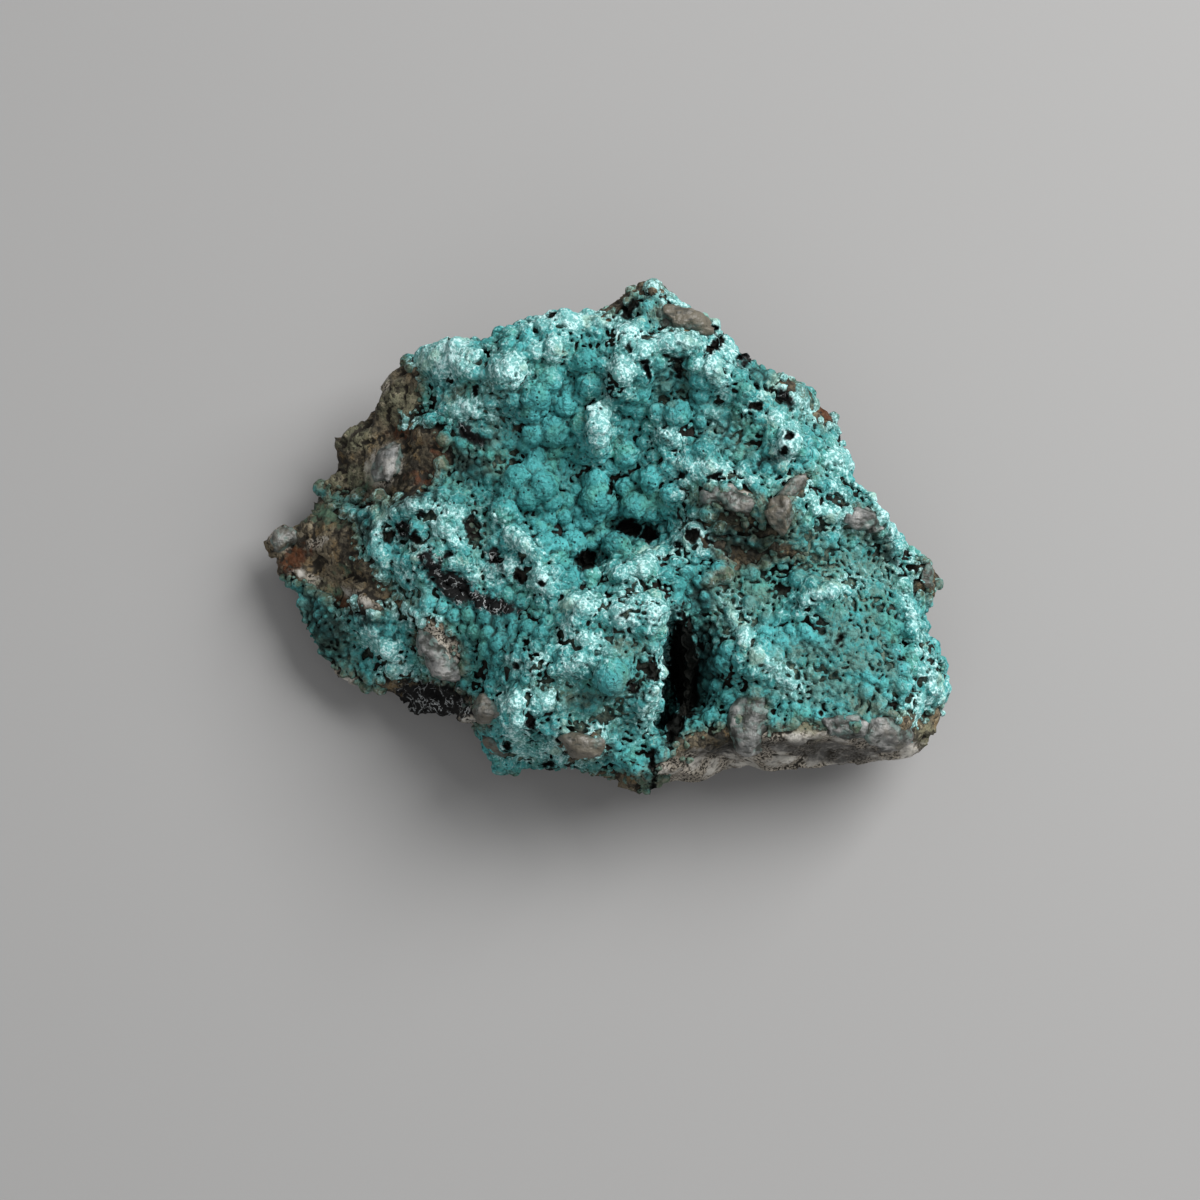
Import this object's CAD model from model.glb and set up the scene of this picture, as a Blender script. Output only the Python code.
# %% [markdown]
# # A hand specimen of chrysocolla
# Chrysocolla is a blue-green copper mineral. It grows out of water that seeps through broken, quartz-rich
# rock, and coats it with round bulbs that swell into each other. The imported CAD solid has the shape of
# the whole rock. It is too coarse to show the crust, so this script keeps it as the frame and grows the
# real surface around it: the rock, the crust of bulbs and grains in a few patches, and the quartz lumps.

# %% Load the frame
import math
import time

import bmesh
import bpy
import numpy as np
from mathutils import Matrix, Vector
from mathutils.bvhtree import BVHTree


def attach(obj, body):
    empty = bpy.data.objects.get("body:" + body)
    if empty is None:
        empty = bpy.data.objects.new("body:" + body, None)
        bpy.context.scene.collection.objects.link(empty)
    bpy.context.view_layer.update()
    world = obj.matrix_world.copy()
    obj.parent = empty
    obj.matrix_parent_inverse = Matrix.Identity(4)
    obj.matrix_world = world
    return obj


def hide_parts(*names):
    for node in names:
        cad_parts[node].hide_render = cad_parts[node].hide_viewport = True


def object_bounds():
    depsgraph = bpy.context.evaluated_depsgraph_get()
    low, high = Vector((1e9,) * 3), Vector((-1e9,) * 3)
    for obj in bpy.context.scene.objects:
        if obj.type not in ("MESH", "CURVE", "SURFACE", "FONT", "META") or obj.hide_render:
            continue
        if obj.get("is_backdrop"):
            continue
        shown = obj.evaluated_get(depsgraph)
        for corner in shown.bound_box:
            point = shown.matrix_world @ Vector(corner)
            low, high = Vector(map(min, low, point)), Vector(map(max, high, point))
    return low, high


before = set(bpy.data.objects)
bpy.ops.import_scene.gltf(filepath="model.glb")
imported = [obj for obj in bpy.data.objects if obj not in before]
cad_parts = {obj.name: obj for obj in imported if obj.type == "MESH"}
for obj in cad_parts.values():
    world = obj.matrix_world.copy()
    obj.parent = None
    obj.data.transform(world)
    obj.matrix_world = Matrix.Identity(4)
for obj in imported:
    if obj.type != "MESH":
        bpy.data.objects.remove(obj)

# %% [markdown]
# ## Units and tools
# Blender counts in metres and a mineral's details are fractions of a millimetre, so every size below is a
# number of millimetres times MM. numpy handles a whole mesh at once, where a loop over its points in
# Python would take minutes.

MM = 0.001
NODE = "chrysocolla_specimen"
cad_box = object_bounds()
started = time.time()


def say(words):
    """Prints a line with the seconds since the frame was loaded."""
    print(f"[{time.time() - started:5.1f} s] {words}")


say(f"CAD box {[round(float(v) / MM, 1) for v in (*cad_box[0], *cad_box[1])]} mm")

# %% [markdown]
# ## The view
# The specimen lies crust up and is looked at from high above its front edge, a little off the vertical.
# The same line of sight is used to place details: a place is written as (right, up) in millimetres on a
# plane that faces the eye, and a ray from the eye finds where it meets the rock. So a bulb sits on what
# carries it, whatever the height there, and it stays there seen from any side.

# %% The eye and its sight plane
EYE = Vector((-0.2, -60.3, 265.1)) * MM
SIGHT_MIDDLE = Vector((0.5, -0.3, 15.4)) * MM
SIGHT_TILT = math.radians(12.0)
LENS = 70.0
NEAREST_SEEN = 10.0 * MM
RIGHT = Vector((1.0, 0.0, 0.0))
UP = Vector((0.0, math.cos(SIGHT_TILT), math.sin(SIGHT_TILT)))
TOWARDS_EYE = RIGHT.cross(UP)


def link_object(name, data):
    """Puts a mesh, a lamp or a camera in the scene as an object at the origin."""
    obj = bpy.data.objects.new(name, data)
    bpy.context.scene.collection.objects.link(obj)
    return obj


camera = link_object("camera", bpy.data.cameras.new("camera"))
camera.location = EYE
camera.rotation_euler = (SIGHT_TILT, 0.0, 0.0)
camera.data.lens = LENS
camera.data.clip_start = NEAREST_SEEN
bpy.context.scene.camera = camera


def seen_at(points):
    """Where the eye sees each point: an array of (right, up) on the sight plane, in millimetres."""
    eye, middle, facing = np.array(EYE), np.array(SIGHT_MIDDLE), np.array(TOWARDS_EYE)
    rays = points - eye
    share = ((middle - eye) @ facing) / (rays @ facing)
    on_plane = eye + rays * share[:, None] - middle
    return np.stack((on_plane @ np.array(RIGHT), on_plane @ np.array(UP)), axis=1) / MM


def on_sight_plane(right, up):
    """A place on the sight plane, as a point in space."""
    return SIGHT_MIDDLE + (RIGHT * right + UP * up) * MM


distance, tilt = EYE.length / MM, math.degrees(SIGHT_TILT)
say(f"the eye is {distance:.0f} mm from the origin, {tilt:.0f} degrees off the vertical")

# %% [markdown]
# ## Floor and light
# A plain pale floor and soft light from all round suit a matte mineral: hard light would put a bright dot
# on every grain. A large lamp above the back right gives the bulbs their shape.

# %% Floor and light
FLOOR_SIZE = 2.0
FLOOR_GREY = (0.265, 0.262, 0.258, 1.0)
FLOOR_ROUGHNESS = 0.9
SKY_COLOUR = (0.97, 0.98, 1.0, 1.0)
SKY_STRENGTH = 0.36
LAMPS = {  # place and size in metres, power in watts
    "key": ((0.36, 0.23, 0.50), 0.45, 7.3),
    "fill": ((0.00, -0.34, 0.60), 0.60, 0.9),
}


def link_bmesh(name, bm):
    """Turns a bmesh into a mesh object in the scene, and frees the bmesh."""
    mesh = bpy.data.meshes.new(name)
    bm.to_mesh(mesh)
    bm.free()
    return link_object(name, mesh)


def make_floor():
    """A wide plain floor under the specimen."""
    bm = bmesh.new()
    bmesh.ops.create_grid(bm, x_segments=1, y_segments=1, size=FLOOR_SIZE / 2)
    floor = link_bmesh("floor", bm)
    paint = bpy.data.materials.new("pale_floor")
    paint.use_nodes = True
    shader = paint.node_tree.nodes["Principled BSDF"]
    shader.inputs["Base Color"].default_value = FLOOR_GREY
    shader.inputs["Roughness"].default_value = FLOOR_ROUGHNESS
    floor.data.materials.append(paint)
    floor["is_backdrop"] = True


def add_lamp(name, place, size, power):
    """A square soft lamp that looks at the specimen."""
    lamp = bpy.data.lights.new(name, "AREA")
    lamp.size = size
    lamp.energy = power
    obj = link_object(name, lamp)
    obj.location = place
    obj.rotation_euler = (SIGHT_MIDDLE - Vector(place)).to_track_quat("-Z", "Y").to_euler()


def light_sky(colour, strength):
    """Even light from all round."""
    world = bpy.data.worlds.new("soft_sky")
    world.use_nodes = True
    background = world.node_tree.nodes["Background"]
    background.inputs["Color"].default_value = colour
    background.inputs["Strength"].default_value = strength
    bpy.context.scene.world = world


make_floor()
light_sky(SKY_COLOUR, SKY_STRENGTH)
for lamp_name, (lamp_place, lamp_size, lamp_power) in LAMPS.items():
    add_lamp(lamp_name, lamp_place, lamp_size, lamp_power)
bpy.context.scene.view_settings.view_transform = "Standard"
say(f"floor {FLOOR_SIZE:.0f} m wide, soft sky and {len(LAMPS)} lamps")

# %% [markdown]
# ## Where things lie
# The surface changes over a few millimetres: bare rock, crust, frosted crust, soot-black ore. Each kind of
# patch is a list of ellipses: place, half-length along and across, and turn in degrees. A point's depth in
# a list is how many millimetres it lies inside the nearest ellipse, and negative outside, so that a
# material can roughen a patch's edge by adding noise to the depth.

# %% Bare rock and frost
BARE = [  # no crust grows here
    (-24.0, 16.5, 3.6, 3.4, 40), (-27.5, 9.5, 6.4, 4.6, 0), (-20.6, 9.6, 3.2, 2.6, -20),
    (-23.0, 6.2, 4.4, 1.8, 20), (-33.5, 0.0, 6.0, 4.6, 0), (-29.5, -4.2, 5.6, 2.6, -28),
    (-25.6, -6.4, 2.6, 0.9, -15), (-18.4, -12.2, 3.2, 1.9, -55), (-19.6, -18.4, 6.0, 2.6, -14),
    (8.4, 24.2, 2.8, 1.0, -12), (13.4, 4.2, 3.0, 1.0, -5), (19.2, 2.4, 1.5, 1.2, 0),
    (20.6, 5.4, 1.6, 0.5, 40), (28.4, 2.0, 1.6, 1.1, -20), (16.0, -19.6, 2.0, 1.4, 70),
    (14.0, -23.0, 6.0, 2.2, 4), (24.0, -24.0, 12.0, 3.4, 0), (31.8, -21.4, 2.6, 2.0, 0),
    (35.5, -23.0, 2.0, 3.0, 0), (35.6, -4.2, 1.2, 2.0, 0), (-3.0, -27.0, 8.0, 0.8, 0),
    (1.2, -27.6, 4.2, 1.0, -16),
    (20.2, 16.4, 1.2, 0.8, -40), (1.4, 26.6, 2.4, 1.2, 50), (3.6, 28.4, 2.6, 1.3, -14),
    (24.6, 13.8, 1.4, 1.0, 0), (10.4, -26.2, 5.0, 2.5, 4), (12.6, -23.6, 4.0, 1.5, 10),
    (-29.4, -15.4, 2.4, 1.0, -25), (-2.7, -22.9, 2.2, 1.2, -5),
    (12.3, -0.6, 1.7, 0.7, -20), (15.4, -2.0, 2.3, 0.9, -8), (17.6, 0.6, 1.4, 0.6, 10),
    (13.6, 1.8, 2.2, 0.7, -4), (19.4, -1.4, 1.2, 0.5, -20), (12.6, -4.4, 1.2, 0.6, 30),
    (36.4, -20.6, 2.4, 1.0, 50), (5.4, 28.3, 1.6, 0.9, -35),
]
FROST = [  # pale frosted crust, on the highs
    (-10.9, 18.7, 2.3, 2.0, 0), (-7.9, 21.0, 0.9, 0.9, 0), (-5.7, 21.1, 1.6, 1.2, 90),
    (-4.2, 24.0, 4.2, 1.1, 0), (1.9, 18.6, 1.9, 1.5, -75), (2.4, 22.4, 1.6, 1.6, 0),
    (-17.4, 20.0, 3.4, 2.4, 10), (-15.4, 14.3, 2.3, 1.0, -10), (-0.5, 12.7, 2.6, 1.2, 92),
    (7.6, 21.6, 3.0, 1.2, 0), (4.4, 20.8, 1.6, 1.0, 40), (11.9, 18.7, 1.6, 1.4, 0),
    (12.6, 16.0, 2.2, 0.4, 80), (6.6, 11.3, 1.7, 1.0, -25), (20.0, 10.7, 1.5, 1.5, 0),
    (23.0, 14.0, 1.8, 0.6, -30), (25.6, 8.9, 1.6, 1.1, 110), (11.3, 7.8, 3.4, 0.8, -12),
    (9.2, 6.4, 1.2, 0.5, 40), (22.6, 4.6, 2.2, 0.6, -40), (24.4, 2.8, 1.8, 0.6, -30),
    (25.8, 5.2, 1.6, 0.4, -60), (-25.4, -0.6, 1.9, 0.5, 95), (-24.0, 2.8, 1.6, 0.45, 42),
    (-21.2, 3.7, 2.2, 0.5, 5), (-17.6, 3.1, 1.6, 0.6, -20), (-18.4, 1.3, 1.4, 0.8, -60),
    (-16.7, 0.4, 0.9, 0.5, -40), (-20.0, -1.7, 1.6, 0.4, -32), (-16.4, -2.8, 1.9, 0.6, -20),
    (-13.8, -4.3, 1.4, 0.5, -12), (-23.8, -2.6, 1.6, 0.45, -35), (-26.8, -3.1, 0.7, 0.4, 0),
    (-11.2, -3.0, 1.1, 1.0, 0), (-9.7, -0.5, 2.3, 0.9, -42), (-7.2, -4.4, 1.3, 1.5, 0),
    (-2.9, -7.4, 2.2, 1.2, 0), (-4.2, -9.4, 1.6, 0.9, 60), (-2.4, -11.2, 1.6, 0.8, -20),
    (2.0, -8.4, 1.8, 1.5, 0), (5.4, -8.2, 2.0, 1.6, -60), (4.4, -3.0, 2.3, 1.0, 60),
    (2.2, -3.7, 1.6, 0.7, -15), (-7.7, -13.7, 1.3, 0.9, 60), (-3.6, -14.0, 2.1, 1.0, 18),
    (-10.1, -18.0, 1.7, 1.4, 0), (-6.6, -18.0, 1.1, 0.9, 0), (-9.9, -21.2, 0.9, 2.0, 0),
    (-9.4, -23.8, 1.4, 0.8, 0), (-6.0, -23.2, 1.2, 0.8, 20), (-3.0, -20.8, 1.8, 0.6, 0),
    (-0.6, -21.6, 0.6, 1.3, -20), (-4.4, -23.8, 1.2, 0.6, -20), (5.2, -17.4, 1.3, 0.7, 60),
    (6.2, -14.6, 0.5, 1.4, 10), (4.2, -19.8, 0.9, 0.6, -50),
    (24.4, -5.9, 2.2, 0.6, 20), (22.4, -6.6, 1.0, 0.6, 50), (15.2, -10.6, 2.0, 0.7, -60),
    (17.4, -13.6, 2.2, 1.0, -40), (19.9, -15.6, 1.4, 0.8, -30), (36.0, -15.8, 2.2, 1.0, -60),
    (34.4, -17.8, 1.4, 0.9, 20), (33.6, -20.2, 0.8, 1.1, 0), (34.3, -9.9, 5.2, 0.20, -72),
    (-24.3, -12.3, 3.6, 1.1, -45), (-22.6, -14.6, 1.4, 0.9, 0), (-20.9, -8.7, 2.0, 0.7, -30),
    (-26.4, -7.4, 1.8, 0.7, -35), (13.2, 21.0, 1.6, 1.0, -40), (8.8, 25.6, 3.4, 0.4, -28),
    (9.5, 0.4, 1.7, 1.2, 0), (30.2, 3.6, 2.8, 0.35, -60), (18.6, 13.2, 1.0, 0.8, 0),
    (-21.2, 12.5, 0.6, 0.6, 0), (5.4, 27.4, 0.5, 0.3, -40), (2.6, -6.2, 1.0, 0.7, 0),
    (18.6, 16.6, 1.4, 0.3, 40), (20.8, 15.0, 0.3, 0.9, 0), (34.4, -4.9, 0.5, 0.5, 0),
]
say(f"{len(BARE)} bare patches, {len(FROST)} frosted ones")

# %% [markdown]
# ## Stains, dirt and grey quartz
# The other patches change the colour more than the shape. Manganese ore leaves soot black, iron leaves
# rust and olive, and copper leaves green. Dirt gathers in the low places, where the crust is thin and in
# shade. Part of the broken wall is smooth grey quartz, with a dark sandy band.

# %% Stains, dirt and grey quartz
SOOT = [  # black ore
    (-19.0, -3.4, 2.2, 1.0, -60), (-17.0, -5.2, 2.8, 1.3, -32), (-13.6, -6.8, 2.8, 0.9, -20),
    (-11.4, -7.4, 1.6, 0.6, -16), (-19.1, -18.2, 4.6, 2.3, -14), (19.8, 15.5, 0.9, 0.6, -50),
    (15.6, 19.8, 0.4, 0.7, -40), (-22.5, 0.9, 0.7, 1.0, 0), (-15.2, 11.4, 1.6, 0.7, -30),
    (-12.3, -2.2, 0.8, 1.2, 30),
]
RUST = [  # red-brown iron stain
    (-34.4, -2.2, 2.0, 1.3, 25), (-28.6, -7.4, 1.8, 0.7, -25), (-19.8, 6.6, 1.6, 0.8, -10),
    (-22.6, 11.8, 1.6, 0.9, 10), (27.4, -6.6, 1.0, 0.4, 0), (21.0, -6.1, 0.5, 0.3, 0),
    (24.6, 13.8, 1.4, 1.0, 0), (-18.6, 9.4, 1.4, 0.6, -40), (-26.0, 4.0, 1.0, 0.6, 20),
]
OLIVE = [  # olive-brown stain on crust and rock
    (-22.6, 14.6, 2.6, 3.0, 0), (-27.8, 6.4, 3.4, 1.6, 20), (-16.4, 16.0, 2.4, 0.9, 30),
    (13.6, 1.6, 4.0, 1.2, -8), (21.6, -20.4, 2.6, 1.0, -18), (29.0, -18.6, 3.0, 1.0, -10),
    (-27.4, 11.0, 2.0, 1.4, 30), (-31.0, -5.2, 1.4, 0.7, -40),
    (35.2, -21.6, 1.2, 1.8, 0), (2.0, -11.6, 2.2, 0.8, -10), (-4.8, -17.4, 3.4, 1.0, -20),
]
SHADE = [  # deeper colour in the hollows
    (-12.0, -10.0, 6.0, 3.2, -20), (-8.4, 12.0, 4.4, 4.0, 0), (-14.5, 6.0, 3.4, 3.4, 0),
    (7.6, 16.6, 2.0, 3.4, 0), (15.0, -0.6, 6.4, 2.2, -8), (-20.0, 6.0, 3.4, 2.2, 0),
    (12.0, 11.4, 3.0, 2.0, -30), (12.0, -11.6, 2.4, 5.0, 10), (1.6, -18.6, 2.6, 4.0, 10),
    (1.9, 25.2, 2.0, 1.5, 20), (23.6, 16.0, 3.4, 1.6, -40), (0.6, 1.8, 5.0, 2.4, 8),
    (-31.0, -10.0, 2.6, 5.6, 25),
]
SPARSE = [  # thin crust, with gaps that show what is under it
    (22.4, -1.4, 6.0, 2.6, -35), (27.6, -3.4, 5.6, 4.2, -50),
    (14.6, -7.4, 4.4, 3.0, 30), (21.6, -14.6, 5.0, 3.6, 0), (28.0, -12.0, 3.4, 5.6, 30),
    (27.4, -17.0, 5.6, 2.2, 0), (-13.4, 11.0, 2.8, 4.6, 20), (-12.6, 16.6, 2.4, 1.4, -20),
    (-16.6, 8.6, 3.0, 2.4, -30), (13.6, 11.8, 3.6, 2.0, -35), (7.4, 16.8, 2.2, 3.0, 0),
    (-31.0, -10.0, 3.0, 6.0, 25), (-21.6, -6.4, 3.4, 1.6, -30), (-3.6, -17.6, 4.0, 1.7, -15),
    (2.6, -18.6, 2.2, 3.4, 10), (2.4, -12.0, 3.0, 1.2, -10), (-20.6, 0.6, 3.4, 1.6, 0),
    (1.4, 25.4, 1.5, 1.8, 20), (20.4, 15.4, 4.6, 1.8, -40), (-14.2, 0.6, 1.4, 2.0, 20),
]
DIRT = [  # dark dirt between the grains
    (-30.8, -10.4, 2.4, 5.0, 20), (-15.0, 8.2, 3.6, 2.4, -30), (15.0, -1.0, 6.6, 2.2, -8),
    (14.6, 1.2, 4.6, 1.6, -8), (19.6, 16.2, 1.5, 1.2, -40),
    (10.3, -7.0, 1.8, 2.4, 0), (-26.6, 1.2, 1.5, 3.4, 12), (-24.4, 5.2, 2.4, 1.0, 30),
    (9.7, 10.9, 2.6, 0.9, 10), (13.6, 11.2, 2.4, 1.0, -30), (4.6, -14.6, 1.2, 2.6, 0),
    (9.6, -13.4, 7.8, 3.2, 92), (7.4, -20.5, 3.2, 2.0, 70), (-10.2, 15.6, 1.6, 0.6, -30),
    (-12.6, -9.0, 2.4, 0.8, -20), (-21.0, 4.6, 4.0, 1.2, 20), (-26.4, -8.8, 3.0, 1.6, -30),
    (18.0, 8.6, 3.4, 1.2, 10), (3.4, 0.6, 3.2, 1.2, 8), (-2.2, -2.6, 1.6, 1.4, 0),
    (30.6, -1.0, 2.0, 3.4, 30), (-13.6, 11.0, 1.6, 1.6, 0), (17.0, 18.0, 3.0, 1.2, -30),
    (5.1, -25.4, 2.8, 0.4, 92), (11.0, -9.4, 3.0, 1.2, -55), (2.4, 25.0, 1.6, 1.3, 20),
    (-31.4, -9.0, 1.8, 4.6, 25), (11.8, -22.0, 3.4, 1.2, -20), (13.2, 2.4, 3.4, 0.9, -5),
    (-15.0, -8.8, 2.4, 0.5, -20), (7.6, 19.0, 1.2, 1.6, 0),
]
GREEN = [  # green copper stain on the rock
    (-33.6, 2.8, 1.8, 1.1, 20), (-9.2, -25.0, 1.8, 0.7, 0), (-29.9, -5.8, 0.9, 0.6, 0),
    (-30.6, 2.6, 2.4, 1.2, -10), (-26.9, 5.4, 1.4, 0.8, 30), (-28.6, -3.4, 1.0, 0.5, 0),
]
GREY = [  # smooth grey quartz in the rock
    (24.0, -24.5, 13.0, 3.4, 0), (16.0, -20.5, 2.4, 2.6, 0), (11.0, -25.8, 6.4, 2.8, 6),
    (13.4, 4.2, 3.3, 1.5, -5), (-24.3, 8.0, 2.7, 2.0, 70), (-35.6, 0.2, 1.8, 1.6, 0),
    (-32.6, -4.4, 1.9, 0.7, -25), (-27.0, -6.6, 2.4, 0.8, -25), (-31.8, -0.6, 1.2, 0.7, 30),
    (-18.4, -12.2, 3.4, 2.1, -55), (-14.6, -19.4, 2.6, 1.4, -20), (28.4, 2.0, 2.1, 1.7, -20),
    (-29.4, -15.4, 2.2, 1.0, -25), (-25.0, 16.6, 1.6, 1.0, 50),
]
DARK_BAND = [  # the dark sandy band in the grey wall
    (24.4, -23.5, 4.6, 1.1, -6), (29.4, -23.4, 2.2, 0.5, 10), (14.0, -22.9, 4.6, 0.6, 8),
    (20.0, -22.9, 3.0, 0.4, 6),
]
stain_lists = (SOOT, RUST, OLIVE, SHADE, SPARSE, DIRT, GREEN, GREY, DARK_BAND)
say(f"{sum(map(len, stain_lists))} patches in {len(stain_lists)} lists of stain, shade, dirt and quartz")

# %% [markdown]
# ## Pits and craters
# Small pores and pits open through the crust to its dark inside. A crater is a round pit with a frosted
# rim, so it is written with two radii, and it adds a place to the frost as well as to the pits.

# %% Pits and craters
PITS = [
    (-6.1, 24.6, 0.45, 0.35, 0), (-14.4, 16.3, 0.4, 0.6, 20), (8.6, -14.2, 6.2, 1.5, 93),
    (10.7, 23.0, 0.4, 0.3, 0), (12.0, 23.1, 0.5, 0.3, 20), (12.1, 21.4, 1.1, 0.6, 45),
    (11.4, 20.8, 0.5, 0.4, 0), (14.9, 20.0, 0.4, 0.6, -40), (2.5, 21.0, 0.35, 0.5, 20),
    (11.7, 6.8, 0.8, 0.4, 20), (8.2, 7.0, 0.4, 0.4, 0),
    (-9.4, -4.2, 0.8, 0.8, 0), (-24.0, 0.3, 0.7, 0.7, 0), (-21.0, -0.1, 0.6, 0.8, 0),
    (-14.7, 1.1, 0.9, 1.5, 20), (-17.2, -1.7, 0.7, 0.4, 0), (-20.3, 2.6, 0.4, 0.35, 0),
    (-2.2, -2.3, 1.2, 1.1, 60), (0.55, 5.3, 0.3, 1.0, 0), (2.6, 1.2, 1.6, 1.0, -20),
    (4.6, 0.4, 1.0, 0.9, 0), (5.1, -14.6, 0.7, 1.2, 20), (5.1, -24.4, 1.5, 0.35, 92),
    (5.2, -26.8, 1.2, 0.3, 86), (7.6, -20.8, 1.8, 1.0, 70), (-8.3, -20.4, 0.5, 0.8, 0),
    (-10.9, -22.9, 0.4, 0.7, 0), (-5.2, -22.2, 0.3, 0.5, 0), (-3.9, -23.2, 0.4, 0.4, 0),
    (-6.4, -24.9, 0.7, 0.4, 0), (31.8, -18.2, 0.7, 0.5, 20), (25.8, -11.0, 0.35, 0.9, -35),
    (32.5, -13.3, 0.4, 0.4, 0), (23.4, -19.2, 0.4, 0.3, 0), (3.0, -16.4, 0.7, 0.9, 20),
    (4.5, 18.6, 0.4, 1.0, 15), (7.9, 18.9, 0.6, 1.0, 0), (2.6, 25.2, 0.9, 0.5, 50),
    (16.6, 14.6, 0.7, 0.5, 0),
]
CRATERS = [  # right, up, rim radius, pit radius
    (20.2, 11.3, 1.5, 0.55), (19.6, 9.6, 1.3, 0.5), (-7.1, -4.9, 1.3, 0.5), (9.5, 0.4, 1.7, 0.9),
    (8.0, -0.7, 1.0, 0.45), (1.9, -8.5, 1.4, 0.6), (-9.8, -14.0, 0.7, 0.4), (-21.8, -4.6, 0.5, 0.2),
    (-25.3, 0.3, 0.5, 0.2), (-22.4, -8.5, 0.5, 0.2), (-0.6, 14.4, 0.9, 0.3),
]
say(f"{len(PITS)} pits and {len(CRATERS)} craters")

# %% [markdown]
# ## Depth in a patch
# An ellipse, turned and stretched, is a circle in its own directions, so how far out a point lies is one
# distance. Everything that grows or is coloured by place asks these functions.

# %% Depth in a patch
FAR_OUTSIDE = 3.0  # millimetres: being farther outside a patch than this makes no difference


def ellipse_depth(places, right, up, along, across, turn):
    """How deep each sighted place lies inside an ellipse, in millimetres."""
    cosine, sine = math.cos(math.radians(turn)), math.sin(math.radians(turn))
    aside, above = places[:, 0] - right, places[:, 1] - up
    share = np.hypot((aside * cosine + above * sine) / along, (above * cosine - aside * sine) / across)
    return (1.0 - share) * min(along, across)


def patch_depth(places, patches):
    """How deep each sighted place lies in the nearest ellipse of a list: never under -FAR_OUTSIDE."""
    depth = np.full(len(places), -FAR_OUTSIDE)
    for patch in patches:
        depth = np.maximum(depth, ellipse_depth(places, *patch))
    return depth


def patch_share(points, patches, edge, sign=1.0):
    """How far each point belongs to a list of patches, from 0 to 1 over an edge, in millimetres.

    With a sign of -1, how far it belongs to the rest of the surface.
    """
    return np.clip(sign * patch_depth(seen_at(points), patches) / edge + 0.5, 0.0, 1.0)


def facing_up(normals, low, width):
    """How far each normal faces up: 0 where its height is under low, and 1 this width above that."""
    return np.clip((normals[:, 2] - low) / width, 0.0, 1.0)


def eased(share):
    """A share from 0 to 1 with a smooth start and end."""
    return share * share * (3.0 - 2.0 * share)


middle_depth = patch_depth(np.zeros((1, 2)), BARE)[0]
say(f"the view's middle lies at least {-middle_depth:.1f} mm outside bare rock")

# %% [markdown]
# ## The bare rock
# The broken quartz rock under the crust is the CAD solid, a little smaller so that the crust has room to
# grow out to the solid's surface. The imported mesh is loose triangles, so its doubles are merged first. A
# voxel remesh then gives even faces, small enough to take fractures and grain.

# %% Room, hollows and bulges
CRUST_ROOM = 0.60 * MM  # how far the core lies inside the CAD surface where crust grows on it
BARE_ROOM = 0.25 * MM  # the same where it is bare
FROST_SWELL = 1.0 * MM
FOOT = 0.4 * MM  # what lies lower than this rests on the ground
DIPS = [  # right, up, half-length, half-width, turn, depth: hollows too small for the CAD solid
    (9.2, -14.0, 8.2, 4.1, 93, 8.0), (7.4, -20.0, 3.6, 2.2, 65, 3.0), (3.4, 0.8, 3.6, 1.6, -10, 1.8),
    (-2.2, -2.4, 1.8, 1.5, 60, 1.2), (-10.8, -5.4, 4.0, 1.6, -25, 0.8), (8.6, -6.4, 3.0, 1.8, 60, 1.2),
    (0.5, 5.2, 1.4, 0.8, 90, 0.8), (12.4, 0.0, 5.0, 2.2, -15, 0.9), (14.5, 9.2, 4.0, 1.6, 20, 0.8),
    (10.6, -9.6, 3.4, 1.8, -55, 3.0), (2.2, 25.0, 1.8, 1.2, 20, 1.2), (10.2, -7.4, 1.7, 2.4, 0, 1.6),
]
BULGES = [  # right, up, half-length, half-width, turn, height: rock that stands out past the CAD solid
    (-34.9, -3.0, 3.6, 2.6, -50, 1.7), (-28.4, 10.8, 2.8, 1.8, 50, 1.1), (24.0, -26.2, 12.0, 2.4, 3, 1.3),
    (-36.6, -0.8, 2.4, 2.4, 0, 0.4), (-11.6, -24.6, 3.4, 1.4, -40, 0.9), (10.4, -26.2, 3.6, 1.6, 12, 0.8),
    (-20.0, -19.4, 4.4, 1.6, -18, 0.9), (-30.4, 5.6, 3.0, 1.6, 40, 1.0),
]
say(f"{len(DIPS)} hollows and {len(BULGES)} bulges")

# %% [markdown]
# ## Mesh tools
# A modifier's result becomes the object's own mesh, so that numpy can read and move its points. All the
# points go through one flat array: it is filled in one call, and it gives a row for each point.

# %% Mesh tools
MERGE_DISTANCE = 0.001 * MM


def applied(obj):
    """The mesh that an object's modifiers give."""
    graph = bpy.context.evaluated_depsgraph_get()
    return bpy.data.meshes.new_from_object(
        obj.evaluated_get(graph), preserve_all_data_layers=True, depsgraph=graph
    )


def replace_mesh(obj, mesh):
    """Gives an object another mesh and removes the one it had."""
    old, obj.data = obj.data, mesh
    bpy.data.meshes.remove(old)


def apply_modifiers(obj):
    """Replaces an object's mesh with what its modifiers give."""
    bpy.context.view_layer.update()
    mesh = applied(obj)
    obj.modifiers.clear()
    replace_mesh(obj, mesh)


def remesh(obj, voxel):
    """Gives an object even square faces of one size."""
    modifier = obj.modifiers.new("remesh", "REMESH")
    modifier.mode = "VOXEL"
    modifier.voxel_size = voxel
    apply_modifiers(obj)


def rows_of(items, name):
    """What a collection holds under a name, as an array with a row of three for each item."""
    flat = np.empty(len(items) * 3, np.float32)
    items.foreach_get(name, flat)
    return flat.reshape(-1, 3).astype(float)


def points_of(mesh):
    """A mesh's points as an array."""
    return rows_of(mesh.vertices, "co")


def normals_of(mesh):
    """A mesh's point normals as an array."""
    return rows_of(mesh.vertex_normals, "vector")


def set_points(mesh, points):
    """Moves a mesh's points."""
    mesh.vertices.foreach_set("co", points.astype(np.float32).ravel())
    mesh.update()


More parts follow.
